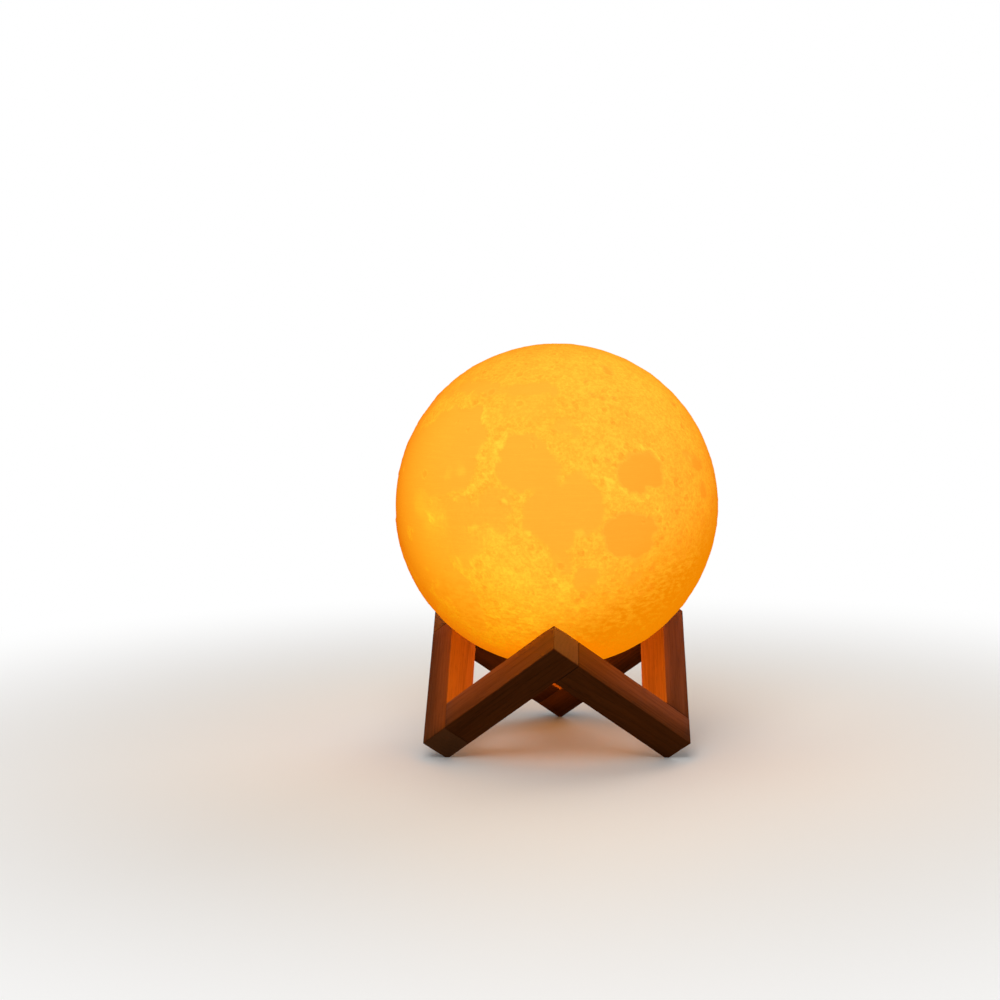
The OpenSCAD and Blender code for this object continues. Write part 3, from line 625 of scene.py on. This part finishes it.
edge_ring = edges_of(cut_across(moon, (0, 0, mouth_z), UP, clear_behind=True))
neck_top = mouth_z + NECK_H
neck_r = MOUTH_R + NECK_WALL
profile = [(MOUTH_R, neck_top), (neck_r, neck_top)]
start_angle = math.asin(neck_r / INNER_R)
for ring in range(INNER_RINGS):
    angle = start_angle + (math.pi - start_angle) * ring / INNER_RINGS
    profile.append((INNER_R * math.sin(angle), centre.z - INNER_R * math.cos(angle)))
for radius, height in profile:
    edge_ring = edges_of(bmesh.ops.extrude_edge_only(moon, edges=edge_ring)["geom"])
    for vertex in {vertex for edge in edge_ring for vertex in edge.verts}:
        out = Vector((vertex.co.x, vertex.co.y, 0)).normalized()
        vertex.co = out * radius + Vector((0, 0, height))
bmesh.ops.contextual_create(moon, geom=edge_ring)
bmesh.ops.recalc_face_normals(moon, faces=moon.faces[:])
print(len(moon.faces), "faces,", open_edges(moon), "open edges")


# %% Make the piece
def make_piece(name, bm, body, replaced, smooth_angle=35):
    """Turns a bmesh into a smooth-shaded piece that rides on a body and stands for CAD nodes."""
    mesh = bpy.data.meshes.new(name)
    bm.to_mesh(mesh)
    bm.free()
    mesh.shade_smooth()
    mesh.set_sharp_from_angle(angle=math.radians(smooth_angle))
    piece = put_in_scene(name, mesh)
    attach(piece, body)
    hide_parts(replaced)
    return piece


moon_piece = make_piece("moon_relief", moon, "moon", "moon_shell",
                        smooth_angle=60)
print("moon_relief:", len(moon_piece.data.polygons), "faces")

# %% [markdown]
# ## Finish of the moon
# The print is warm and lit through. Light could really be sent through the wall, but that renders
# slowly and with grain, so the colour that comes out of the wall is set as emission: yellow on the
# rough highlands, deeper on the smooth seas, brightest on young craters and chains, and darkest in
# the seas with an amount above 1. Crater bowls are darker, as painted shade, and their rims lighter,
# as a painted highlight. Masks by the place on the globe paint shade that deepens the colour towards
# the edge of the disc seen from the front, and paint light on the upper middle, which keeps its blue
# while the colour all round it loses blue. Low on the right the glow is dim, where the lamp inside
# reaches least, with painted shade of wrinkles on it, and the diffuse colour is darker there, also
# painted shade. The rest is plain diffuse colour, which the soft front light turns yellower in the
# middle of the disc.

# %% Noise and holes of the print
CONTRAST, SOFT_CONTRAST = 0.14, 0.18
GRIT, COARSE_GRIT = 0.62, 0.7
POCK = 0.25

glow, given, out = start_group("moon_glow", [
    ("Sea", "Float", 0.0), ("Bright", "Float", 0.0), ("Pit", "Float", 0.0), ("Chain", "Float", 0.0),
    ("Position", "Vector", None), ("Middle", "Vector", tuple(centre)),
], [("Glow", "Color"), ("Base", "Color"), ("Height", "Float")])

spot = given.outputs["Position"]
sea_mask = given.outputs["Sea"]
land = clip(glow, calculate(glow, "SUBTRACT", 1.0, sea_mask))
deep = clip(glow, calculate(glow, "SUBTRACT", sea_mask, 1.0))


def pulled_apart(value, spread):
    """Noise about 0.5, turned into -0.5 to 0.5 with more contrast."""
    return spread_out(glow, value, 0.5 - spread, 0.5 + spread, -0.5, 0.5)


fine = clouds(glow, spot, scale=1500.0, detail=3.0, roughness=GRIT)
mottle = clouds(glow, spot, scale=640.0, detail=4.0, roughness=GRIT)
clumps = clouds(glow, spot, scale=140.0, detail=4.0, roughness=GRIT)
flattened = calculate_vector(glow, "MULTIPLY", spot, (1.0, 1.0, 14.0))
streaks = clouds(glow, flattened, scale=70.0, detail=2.0, roughness=COARSE_GRIT)
flattened = calculate_vector(glow, "MULTIPLY", spot, (1.0, 1.0, 2.2))
wrinkles = clouds(glow, flattened, scale=260.0, detail=5.0, roughness=COARSE_GRIT)
pinholes = speckles(glow, spot, scale=330.0)
holes = spread_out(glow, pinholes, 0.30, 0.14)
rims = calculate(glow, "MULTIPLY", spread_out(glow, pinholes, 0.26, 0.34),
                 spread_out(glow, pinholes, 0.46, 0.36))
pocks = sum_of(glow, (rims, POCK), (holes, -POCK))
print("noise of the print has", len(glow.nodes), "nodes")

# %% Light and dark of the ground
SEA_GLOW = (0.97, 0.37, 0.033, 1)
LAND_GLOW = (0.98, 0.415, 0.032, 1)
FRESH_GLOW = (1.0, 0.57, 0.046, 1)
PIT_GLOW = (0.93, 0.28, 0.021, 1)
SEA_GRAIN = 0.07

rough_light = sum_of(glow, (pulled_apart(mottle, CONTRAST), 0.56),
                     (pulled_apart(clumps, SOFT_CONTRAST), 0.42), (pocks, 0.55),
                     (calculate(glow, "SUBTRACT", fine, 0.5), 0.7))
land_share = calculate(glow, "ADD", calculate(glow, "MULTIPLY", land, 1 - SEA_GRAIN), SEA_GRAIN)
# The pit mask paints shade in crater bowls and a highlight on their rims.
light = sum_of(glow, (calculate(glow, "MULTIPLY", rough_light, land_share), 1.0),
               (given.outputs["Pit"], -0.6), (given.outputs["Bright"], 1.0),
               (given.outputs["Chain"], 0.75), (deep, -2.0),
               (calculate(glow, "SUBTRACT", streaks, 0.5), 0.35))
dark = calculate(glow, "MULTIPLY", light, -1.0)
colour = mix_colours(glow, sea_mask, LAND_GLOW, SEA_GLOW)
colour = mix_colours(glow, clip(glow, light), colour, FRESH_GLOW)
colour = mix_colours(glow, clip(glow, dark), colour, PIT_GLOW)
print("light and dark of the ground are set")

# %% Sides of the globe, with painted shade and painted light
FRONT_SIDE = (0.06, -0.965, 0.25)
LIT_UPPER_SIDE = (0.10, -0.84, 0.53)
DIM_SIDE = (0.55, 0.0, -0.835)
UNDER_SIDE = (-0.30, -0.28, -0.91)
LIMB_SHADE = (0.70, 0.31, 0.40, 1)
BLUE_CUT_IN_SHADE = (1.0, 1.0, 0.06, 1)
DIM_GLOW = (0.79, 0.215, 0.0, 1)
PRINT_BASE = (0.35, 0.15, 0.006, 1)
SHADED_BASE = (0.32, 0.13, 0.004, 1)

offset = calculate_vector(glow, "SUBTRACT", spot, given.outputs["Middle"])


def towards(side, start, end, to_low=0.0, to_high=1.0):
    """A mask that changes along a direction, between two heights in parts of the globe's radius."""
    reach = calculate_vector(glow, "DOT_PRODUCT", offset, side)
    return spread_out(glow, reach, start * GLOBE_R, end * GLOBE_R, to_low, to_high)


# Painted shade: the colour deepens towards the edge of the disc as seen from the front, and about half as
# much over the back.
painted_limb_shade = calculate(glow, "MULTIPLY", towards(FRONT_SIDE, 0.67, -0.08),
                         towards(FRONT_SIDE, -0.05, -0.9, 1.0, 0.55))
colour = mix_colours(glow, painted_limb_shade, colour, LIMB_SHADE, "MULTIPLY")
# Painted light and shade: the upper middle, where the front light falls, keeps its blue and stays paler,
# and all round it the colour loses its blue.
colour = mix_colours(glow, towards(LIT_UPPER_SIDE, 0.98, -0.10), colour, BLUE_CUT_IN_SHADE, "MULTIPLY")
low = towards(DIM_SIDE, 0.34, 0.88)
under = calculate(glow, "MULTIPLY", towards(UNDER_SIDE, 0.60, 0.92), 0.9)
# Painted shade of wrinkles, where the glow is dim low on the right.
wrinkle_shade = calculate(glow, "MULTIPLY", pulled_apart(wrinkles, CONTRAST),
                     calculate(glow, "MAXIMUM", low, under))
ragged = sum_of(glow, (low, 1.0), (under, 0.2), (wrinkle_shade, -0.85))
feed(glow, mix_colours(glow, ragged, colour, DIM_GLOW), out.inputs["Glow"])
# The diffuse colour is darker low on the right, as painted shade.
feed(glow, mix_colours(glow, low, PRINT_BASE, SHADED_BASE), out.inputs["Base"])
print("sides of the globe are set")

# %% Height of the grain and of the printed layers
LAYER_HEIGHT = 0.05

print_layers = add(glow, "TexWave", {"bands_direction": "Z", "wave_type": "BANDS"}, Vector=spot,
                   Scale=420.0, Distortion=1.2, Detail=1.0).outputs["Fac"]
grains = sum_of(glow, (mottle, 1.0), (fine, 0.5), (pocks, 0.5))
height = sum_of(glow, (calculate(glow, "MULTIPLY", grains, land), 1.0), (print_layers, LAYER_HEIGHT))
feed(glow, height, out.inputs["Height"])
print("moon_glow has", len(glow.nodes), "nodes")

# %% Moon material
material, tree, shader = start_material("moon_print")
stored = {name.capitalize(): add(tree, "Attribute", {"attribute_name": name}).outputs["Fac"]
          for name in masks}
skin = use_group(tree, glow, Position=add(tree, "TexCoord").outputs["Object"], **stored)
feed(tree, skin.outputs["Base"], shader.inputs["Base Color"])
feed(tree, skin.outputs["Glow"], shader.inputs["Emission Color"])
bump = add(tree, "Bump", Height=skin.outputs["Height"], Strength=0.9, Distance=0.0006)
feed(tree, bump.outputs[0], shader.inputs["Normal"])
set_sockets(shader, Emission_Strength=1.0, Roughness=0.62, Specular_IOR_Level=0.0)
moon_piece.data.materials.append(material)
print("moon_print is on", moon_piece.name)

# %% [markdown]
# ## Light of the lamp
# The glowing wall alone is too weak to colour the stand as the real lamp does, because its colour
# is set for the eye. A much brighter wall would do it, but would clip to white. So two round warm
# lights sit in the middle of the globe, one for the stand and a larger, softer one for the floor.
# The wall would block them, and light linking, once the bars are made, tells the renderer that it
# doesn't.

# %% Warm lights inside the globe
LAMP_COLOUR = (1.0, 0.52, 0.03)
STAND_POWER, STAND_LIGHT_R = 5.6, 0.040
FLOOR_POWER, FLOOR_LIGHT_R = 0.55, 0.070


def warm_light(name, power, radius):
    """A round warm light in the middle of the globe, which moves with it."""
    data = bpy.data.lights.new(name, "POINT")
    data.color = LAMP_COLOUR
    data.energy = power
    data.shadow_soft_size = radius
    light = put_in_scene(name, data)
    light.matrix_world = Matrix.Translation(centre)
    light.parent = moon_piece
    return light


stand_glow = warm_light("stand_glow", STAND_POWER, STAND_LIGHT_R)
floor_glow = warm_light("floor_glow", FLOOR_POWER, FLOOR_LIGHT_R)
print("warm lights:", STAND_POWER, "W for the stand,", FLOOR_POWER, "W for the floor")

# %% [markdown]
# ## Bars of the stand
# The six bars follow the zigzag of edges round a cube that stands on one corner: three peaks carry
# the globe, and three feet stand on the table. Each bar butts on the side of the next one. A bar
# starts as a cube, is stretched to its size, and gets eased edges. Real bars are never quite
# alike, so each is a few hundredths of a millimetre off in width. Where the globe rests, extra cuts
# make small faces, and the points inside the globe's seat are pushed out to it, which leaves a
# shallow round hollow. A boolean with a ball would do the same, but leaves long thin faces.

# %% Places of the bars
BAR_W = 0.015
BAR_L = 0.0705
FOOT_CUT = 0.001
CUBE_W = BAR_L + BAR_W
EASE = 0.0004
UPRIGHT_TILT = math.acos(1 / math.sqrt(3))
FRONT_TURN = math.radians(-135)
FOOT_DROP = BAR_L / math.sqrt(3) + FOOT_CUT

in_stand = (Matrix.Translation((0, 0, -FOOT_DROP)) @ Matrix.Rotation(-UPRIGHT_TILT, 4, "X")
            @ Matrix.Rotation(FRONT_TURN, 4, "Z"))
to_peak = Matrix.Translation((BAR_L, BAR_W, BAR_W)) @ Matrix.Rotation(-math.pi / 2, 4, "X")
to_foot = (Matrix.Translation((CUBE_W, BAR_W, BAR_L)) @ Matrix.Rotation(-math.pi / 2, 4, "Z")
           @ Matrix.Rotation(math.pi, 4, "X"))


def bar_place(which, kind):
    """Matrix that takes an upright bar at the origin to its place in the stand."""
    return Matrix.Rotation(math.radians(120 * which), 4, "Z") @ in_stand @ kind


BARS = {
    "front_left_bar": bar_place(0, to_peak), "right_bar": bar_place(1, to_peak),
    "back_left_bar": bar_place(2, to_peak), "left_bar": bar_place(0, to_foot),
    "front_right_bar": bar_place(1, to_foot), "back_right_bar": bar_place(2, to_foot),
}
print(len(BARS), "bars of", 1000 * BAR_L, "mm")

# %% A straight bar, upright at the origin
SLICES = 12
WOBBLE_SCALE = 45
WOBBLE = 0.00006
GRAIN_SHIFT = (0.031, 0.017, 0.113)


def straight_bar(seed):
    """An eased, slightly uneven square bar, with its own length and width kept for the grain."""
    bm = bmesh.new()
    bmesh.ops.create_cube(bm, size=1)
    bm.transform(Matrix.Diagonal((BAR_W, BAR_W, BAR_L, 1)) @ Matrix.Translation((0.5, 0.5, 0.5)))
    bmesh.ops.bevel(bm, geom=bm.edges[:], offset=EASE, offset_type="OFFSET", affect="EDGES",
                    segments=3, profile=0.5, material=-1)
    for slice_at in range(1, SLICES):
        cut_across(bm, (0, 0, BAR_L * slice_at / SLICES), UP)
    grain_layer = bm.verts.layers.float_vector.new("grain")
    own_layer = bm.verts.layers.float_vector.new("own_place")
    shift = Vector([seed * part for part in GRAIN_SHIFT])
    for vertex in bm.verts:
        vertex[grain_layer] = vertex.co + shift
        vertex[own_layer] = vertex.co
        wobble = noise.noise_vector((vertex.co + shift) * WOBBLE_SCALE)
        vertex.co += Vector((wobble.x, wobble.y, 0)) * WOBBLE
    return bm


print("a bar is cut into", SLICES, "slices")

# %% The globe's seat in a bar
SEAT_R = 0.07505
SEAT_ZONE = 0.011
SEAT_STEP = 0.0009


def cut_finely(bm):
    """Cuts the peak of an upright bar into small faces."""
    for cut_at in range(1, round(SEAT_ZONE / SEAT_STEP)):
        for axis, edge in enumerate((BAR_W, BAR_W, BAR_L)):
            spot, way = [0, 0, 0], [0, 0, 0]
            spot[axis], way[axis] = edge - SEAT_STEP * cut_at, 1
            cut_across(bm, spot, way)


def press_seat(bm):
    """Pushes the points inside the globe's seat out to it, and counts them."""
    inside = [vertex for vertex in bm.verts if (vertex.co - centre).length < SEAT_R]
    for vertex in inside:
        vertex.co = centre + (vertex.co - centre).normalized() * SEAT_R
    return len(inside)


print("the seat's radius is", round(1000 * (SEAT_R - GLOBE_R), 2), "mm more than the globe's")

# %% Model the bars
PEAK_BARS = ("front_left_bar", "right_bar", "back_left_bar")


def model_bar(name, place, seed):
    """A finished bar at its place: with a seat if it is a peak bar, else with a flat foot."""
    bm = straight_bar(seed)
    if name in PEAK_BARS:
        cut_finely(bm)
    bm.transform(place)
    print(name, "has", press_seat(bm), "points in its seat")
    if name not in PEAK_BARS:
        cut_across(bm, (0, 0, 0), UP, clear_behind=True)
        bmesh.ops.holes_fill(bm, edges=[edge for edge in bm.edges if edge.is_boundary])
    bmesh.ops.recalc_face_normals(bm, faces=bm.faces[:])
    return make_piece(name.replace("_bar", "_wood"), bm, "stand", name,
                      smooth_angle=30)


bars = [model_bar(name, place, seed) for seed, (name, place) in enumerate(BARS.items(), 1)]
for piece, name in zip(bars, BARS):
    low_corner = Vector([min(v.co[axis] for v in piece.data.vertices) for axis in range(3)])
    off = (low_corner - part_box(name)[0]).length
    print(piece.name, "is off its node's low corner by", round(1000 * off, 2), "mm")

# %% [markdown]
# ## Wood
# Sawn wood is a stack of yearly rings, cut through. The rings are cylinders round an axis that
# lies outside the bar, bent a little by noise, so the sides show long lines, and the ends show
# arcs. Short dark pores and fine fibres run along the bar. A picture of wood would need unwrapping
# and would repeat, and these rings do neither. The bar's own place, which each point kept as an
# attribute, makes the grain follow every bar, whichever way it leans. It also says where the open
# ends are, which are greyer, and where a bar butts on the next one, which gets a dark line: glue and
# dirt in the joint, and painted shadow of the narrow gap there.

# %% Wood grain
PITH = (-0.020, 0.047, 0)
BEND = 0.010
RING_SHARPNESS = 2.2

grain, given, out = start_group("wood_grain", [
    ("Place", "Vector", None), ("Light", "Color", rgba(170, 112, 68)),
    ("Dark", "Color", rgba(118, 72, 40)), ("Ring width", "Float", 0.0021),
], [("Color", "Color"), ("Roughness", "Float"), ("Height", "Float")])


def drawn_out(share):
    """Places along the bar, brought closer together, so that noise there comes out long."""
    return calculate_vector(grain, "MULTIPLY", given.outputs["Place"], (1, 1, share))


slow = drawn_out(0.12)
bend = add(grain, "TexNoise", {"normalize": True}, Vector=slow, Scale=60.0, Detail=2.0)
bend = calculate_vector(grain, "SUBTRACT", bend.outputs["Color"], (0.5, 0.5, 0.5))
bend = calculate_vector(grain, "SCALE", bend, BEND)
bent = calculate_vector(grain, "ADD", given.outputs["Place"], bend)
from_pith = calculate_vector(grain, "SUBTRACT", bent, PITH)
reach = calculate_vector(grain, "LENGTH", calculate_vector(grain, "MULTIPLY", from_pith, (1, 1, 0.03)))
ring = calculate(grain, "FRACT", calculate(grain, "DIVIDE", reach, given.outputs["Ring width"]))
ring = calculate(grain, "POWER", ring, RING_SHARPNESS)
fibre = clouds(grain, drawn_out(0.035), scale=1500.0, detail=3.0, roughness=0.6)
pore = spread_out(grain, speckles(grain, drawn_out(0.10), scale=1250.0), 0.28, 0.10)
blotch = clouds(grain, slow, scale=90.0, detail=2.0)
print("rings, fibres and pores take", len(grain.nodes), "nodes")

# %% Colour, gloss and height of the wood
RING_DARK, FIBRE_DARK, BLOTCH_DARK, PORE_DARK = 0.28, 0.36, 0.34, 0.40
BLOTCH_LIGHT = -0.08

fibres = spread_out(grain, fibre, 0.35, 0.68, 0.0, FIBRE_DARK)
blotches = spread_out(grain, blotch, 0.3, 0.7, BLOTCH_LIGHT, BLOTCH_DARK)
tone = sum_of(grain, (ring, RING_DARK), (fibres, 1.0), (blotches, 1.0), (pore, PORE_DARK))
colour = mix_colours(grain, calculate(grain, "MINIMUM", tone, 1.0), given.outputs["Light"],
                     given.outputs["Dark"])
feed(grain, colour, out.inputs["Color"])
feed(grain, spread_out(grain, tone, 0.0, 1.0, 0.62, 0.8), out.inputs["Roughness"])
feed(grain, sum_of(grain, (fibre, 0.4), (pore, -0.8)), out.inputs["Height"])
print("wood_grain has", len(grain.nodes), "nodes")


# %% Wood of the bars and dowels
def wood_material(name, light, dark, place_from, settings=None):
    """Wood whose grain follows the output of one node: an attribute, or the object's coordinates."""
    material, tree, shader = start_material(name)
    place = add(tree, place_from, settings).outputs["Vector" if settings else "Object"]
    wood = use_group(tree, grain, Place=place, Light=light, Dark=dark)
    wire_surface(tree, shader, wood, strength=0.35, depth=0.0002)
    set_sockets(shader, Specular_IOR_Level=0.03)
    return material, tree, shader


dowel_wood, _, _ = wood_material("dowel_wood", rgba(206, 168, 118), rgba(170, 126, 80), "TexCoord")
bar_wood, tree, shader = wood_material("bar_wood", rgba(93, 46, 11), rgba(62, 29, 5), "Attribute",
                                       {"attribute_name": "grain"})
for piece in bars:
    piece.data.materials.append(bar_wood)
print("wood on", len(bars), "bars")

# %% Open ends, and joints with painted shadow
END_GREY = rgba(106, 74, 48)
JOINT_GLUE_AND_SHADOW = rgba(44, 20, 6)
END_W, END_EDGE = 0.0005, 0.0001
JOINT_W, JOINT_CORE = 0.0005, 0.0002
END_SHARE, JOINT_SHARE = 0.35, 0.8

own = add(tree, "Attribute", {"attribute_name": "own_place"}).outputs["Vector"]
x, y, z = add(tree, "SeparateXYZ", _0=own).outputs


def in_from_sides(part):
    """How far a point lies in from the nearer of two opposite sides of the bar."""
    off_middle = calculate(tree, "ABSOLUTE", calculate(tree, "SUBTRACT", part, BAR_W / 2))
    return calculate(tree, "SUBTRACT", BAR_W / 2, off_middle)


inside = calculate(tree, "MINIMUM", in_from_sides(x), in_from_sides(y))
open_end = calculate(tree, "MULTIPLY", spread_out(tree, z, BAR_L - END_W, BAR_L - END_EDGE),
                     spread_out(tree, inside, END_EDGE, END_EDGE + END_W))
# Painted shadow, with glue and dirt: a dark line at the end that butts on the next bar.
joint_glue_and_shadow = spread_out(tree, z, JOINT_W, JOINT_CORE)
plain = shader.inputs["Base Color"].links[0].from_socket
colour = mix_colours(tree, calculate(tree, "MULTIPLY", open_end, END_SHARE), plain, END_GREY)
colour = mix_colours(tree, calculate(tree, "MULTIPLY", joint_glue_and_shadow, JOINT_SHARE), colour, JOINT_GLUE_AND_SHADOW)
feed(tree, colour, shader.inputs["Base Color"])
print("joints are dark over", 1000 * JOINT_W, "mm")

# %% [markdown]
# ## Touch ring
# The ring under the globe is a switch and the one polished part. It could be a cylinder with a
# hole, but its profile is simpler: a small rectangle with rounded lower corners, drawn once and
# spun round the upright axis.

# %% Spin the ring
RING_SEGMENTS = 96
RING_EDGE = 0.0004
RING_W = 0.003

ring_low, ring_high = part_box("touch_ring")
bm = bmesh.new()
bmesh.ops.create_grid(bm, x_segments=1, y_segments=1, size=0.5)
for vertex in bm.verts:
    vertex.co = Vector((ring_high.x - RING_W + (vertex.co.x + 0.5) * RING_W, 0,
                        ring_low.z + (vertex.co.y + 0.5) * (ring_high.z - ring_low.z)))
lower = [vertex for vertex in bm.verts if vertex.co.z < ring_low.z + RING_EDGE]
bmesh.ops.bevel(bm, geom=lower, offset=RING_EDGE, offset_type="OFFSET", affect="VERTICES",
                segments=4, profile=0.5, material=-1)
bmesh.ops.delete(bm, geom=bm.faces[:], context="FACES_ONLY")
bmesh.ops.spin(bm, geom=bm.verts[:] + bm.edges[:], cent=(0, 0, 0), axis=UP, dvec=(0, 0, 0),
               angle=2 * math.pi, steps=RING_SEGMENTS, use_merge=True, use_duplicate=False)
bmesh.ops.remove_doubles(bm, verts=bm.verts[:], dist=JOIN_DIST)
bmesh.ops.recalc_face_normals(bm, faces=bm.faces[:])
print("ring:", len(bm.faces), "faces,", open_edges(bm), "open edges")
ring_piece = make_piece("touch_ring_metal", bm, "moon", "touch_ring",
                        smooth_angle=40)

# %% [markdown]
# ## Metals, plastics and board parts
# What is inside and underneath keeps the construction's own meshes, which are exact, and gets a
# finish. Two groups serve them all. Moulded plastic and film have a fine grain in colour, gloss
# and height. Metal has scratches that are long in one direction.

# %% Moulded surface
CLOUDY_GLOSS = 0.18

moulded, given, out = start_group("moulded", [
    ("Color", "Color", (0.8, 0.8, 0.8, 1)), ("Roughness", "Float", 0.45),
    ("Grain scale", "Float", 1800.0), ("Variation", "Float", 0.06),
], [("Color", "Color"), ("Roughness", "Float"), ("Height", "Float")])
place = add(moulded, "TexCoord").outputs["Object"]
speck = clouds(moulded, place, scale=given.outputs["Grain scale"], detail=3.0)
cloud = clouds(moulded, place, scale=140.0, detail=3.0)
shade = calculate(moulded, "SUBTRACT", calculate(moulded, "ADD", speck, cloud), 1.0)
shade = calculate(moulded, "MULTIPLY", shade, given.outputs["Variation"])
shade = calculate(moulded, "ADD", 1.0, shade)
uneven = calculate(moulded, "MULTIPLY", calculate(moulded, "SUBTRACT", cloud, 0.5), CLOUDY_GLOSS)
feed(moulded, calculate_vector(moulded, "SCALE", given.outputs["Color"], shade), out.inputs["Color"])
feed(moulded, calculate(moulded, "ADD", given.outputs["Roughness"], uneven), out.inputs["Roughness"])
feed(moulded, speck, out.inputs["Height"])
print("moulded has", len(moulded.nodes), "nodes")

# %% Scratched metal
SCRATCHED_GLOSS = 0.22

metal, given, out = start_group("worked_metal", [
    ("Color", "Color", (0.8, 0.8, 0.8, 1)), ("Roughness", "Float", 0.25),
    ("Stretch", "Vector", (1, 1, 0.05)),
], [("Color", "Color"), ("Roughness", "Float"), ("Height", "Float")])
place = add(metal, "TexCoord").outputs["Object"]
long_place = calculate_vector(metal, "MULTIPLY", place, given.outputs["Stretch"])
scratch = clouds(metal, long_place, scale=3000.0, detail=2.0)
stain = clouds(metal, place, scale=220.0, detail=3.0)
shade = spread_out(metal, stain, 0.25, 0.75, 0.86, 1.04)
uneven = calculate(metal, "SUBTRACT", calculate(metal, "ADD", scratch, stain), 1.0)
uneven = calculate(metal, "MULTIPLY", uneven, SCRATCHED_GLOSS)
feed(metal, calculate_vector(metal, "SCALE", given.outputs["Color"], shade), out.inputs["Color"])
feed(metal, calculate(metal, "ADD", given.outputs["Roughness"], uneven), out.inputs["Roughness"])
feed(metal, scratch, out.inputs["Height"])
print("worked_metal has", len(metal.nodes), "nodes")


# %% A finish for each kind of part
def finish_material(name, group, colour, roughness, metallic=0.0, bump_depth=0.00003, **values):
    """A material that reads one of the shared groups."""
    material, tree, shader = start_material(name)
    surface = use_group(tree, group, Color=rgba(*colour), Roughness=roughness, **values)
    wire_surface(tree, shader, surface, strength=0.3, depth=bump_depth)
    set_sockets(shader, Metallic=metallic)
    return material


PLASTICS = {
    # name: colour, roughness, and what differs from the group's own values
    "white_plastic": ((236, 233, 224), 0.42, {}),
    "black_plastic": ((34, 34, 36), 0.4, {}),
    "red_led": ((220, 84, 60), 0.3, {}),
    "board_green": ((32, 104, 62), 0.35, {"Variation": 0.25}),
    "part_brown": ((150, 118, 86), 0.5, {}),
    "sleeve_blue": ((40, 92, 160), 0.3, {}),
    "foam_grey": ((70, 70, 74), 0.95, {"bump_depth": 0.0004, "Grain_scale": 900.0}),
    "lead_red": ((186, 44, 36), 0.5, {}),
    "lead_white": ((228, 228, 224), 0.5, {}),
    "board_aluminium": ((226, 228, 230), 0.4, {}),
    "cool_led": ((238, 232, 180), 0.35, {}),
}
METALS = {
    "ring_chrome": ((214, 214, 218), 0.14, {"bump_depth": 0.000005, "Stretch": (0.2, 0.2, 1)}),
    "contact_brass": ((226, 190, 110), 0.25, {}),
    "screw_steel": ((196, 196, 200), 0.28, {}),
    "cell_steel": ((204, 206, 208), 0.3, {}),
}
finishes = {"dowel_wood": dowel_wood, "bar_wood": bar_wood, "moon_print": moon_piece.data.materials[0]}
for name, (colour, roughness, own_values) in PLASTICS.items():
    finishes[name] = finish_material(name, moulded, colour, roughness, **own_values)
for name, (colour, roughness, own_values) in METALS.items():
    finishes[name] = finish_material(name, metal, colour, roughness, metallic=1.0, **own_values)
print(len(finishes), "finishes")

# %% Clear plastic and lit chips
material, tree, shader = start_material("clear_plastic")
surface = use_group(tree, moulded, Color=rgba(236, 242, 246), Roughness=0.08, Variation=0.02)
feed(tree, surface.outputs["Color"], shader.inputs["Base Color"])
feed(tree, surface.outputs["Roughness"], shader.inputs["Roughness"])
set_sockets(shader, Transmission_Weight=0.9, IOR=1.49)
finishes["clear_plastic"] = material

material, tree, shader = start_material("warm_led")
surface = use_group(tree, moulded, Color=rgba(255, 214, 130), Roughness=0.35, Variation=0.1)
feed(tree, surface.outputs["Color"], shader.inputs["Base Color"])
feed(tree, surface.outputs["Color"], shader.inputs["Emission Color"])
set_sockets(shader, Emission_Strength=2.0)
finishes["warm_led"] = material
print("clear plastic and lit chips:", len(finishes), "finishes")

# %% Give every node its finish
NODE_FINISH = {
    "mounting_collar": "white_plastic", "base_cap": "white_plastic", "lamp_post": "white_plastic",
    "cap_screws": "screw_steel", "board_screws": "screw_steel", "post_screws": "screw_steel",
    "led_screws": "screw_steel", "touch_ring": "ring_chrome", "touch_pin": "contact_brass",
    "socket_pin": "contact_brass", "socket_body": "black_plastic", "control_chips": "black_plastic",
    "light_pipe": "clear_plastic", "indicator_led": "red_led", "control_board": "board_green",
    "board_passives": "part_brown", "battery_cell": "cell_steel", "battery_tabs": "cell_steel",
    "battery_sleeve": "sleeve_blue", "foam_pads": "foam_grey", "battery_leads": "lead_red",
    "led_leads": "lead_white", "led_board": "board_aluminium", "warm_leds": "warm_led",
    "cool_leds": "cool_led", "glued_dowels": "dowel_wood", "push_dowels": "dowel_wood",
    "moon_shell": "moon_print", **{name: "bar_wood" for name in BARS},
}
for name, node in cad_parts.items():
    node.data.materials.clear()
    node.data.materials.append(finishes[NODE_FINISH[name]])
ring_piece.data.materials.append(finishes["ring_chrome"])
print(len(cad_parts), "nodes have a finish")

# %% [markdown]
# ## Let the lamp's light through
# With light linking, a light can be told which objects it reaches and which cast its shadow. One
# light reaches the bars alone and the other the floor alone, so that each has its own strength and
# softness. The bars alone cast the lamp's shadow, so the globe and what is inside it don't stop it.

# %% Light linking
casters = bpy.data.collections.new("casts_lamp_shadow")
lit_bars = bpy.data.collections.new("lit_by_the_globe")
lit_floor = bpy.data.collections.new("lit_floor")
for piece in bars:
    casters.objects.link(piece)
    lit_bars.objects.link(piece)
lit_floor.objects.link(floor)
for light, receivers in ((stand_glow, lit_bars), (floor_glow, lit_floor)):
    light.light_linking.blocker_collection = casters
    light.light_linking.receiver_collection = receivers
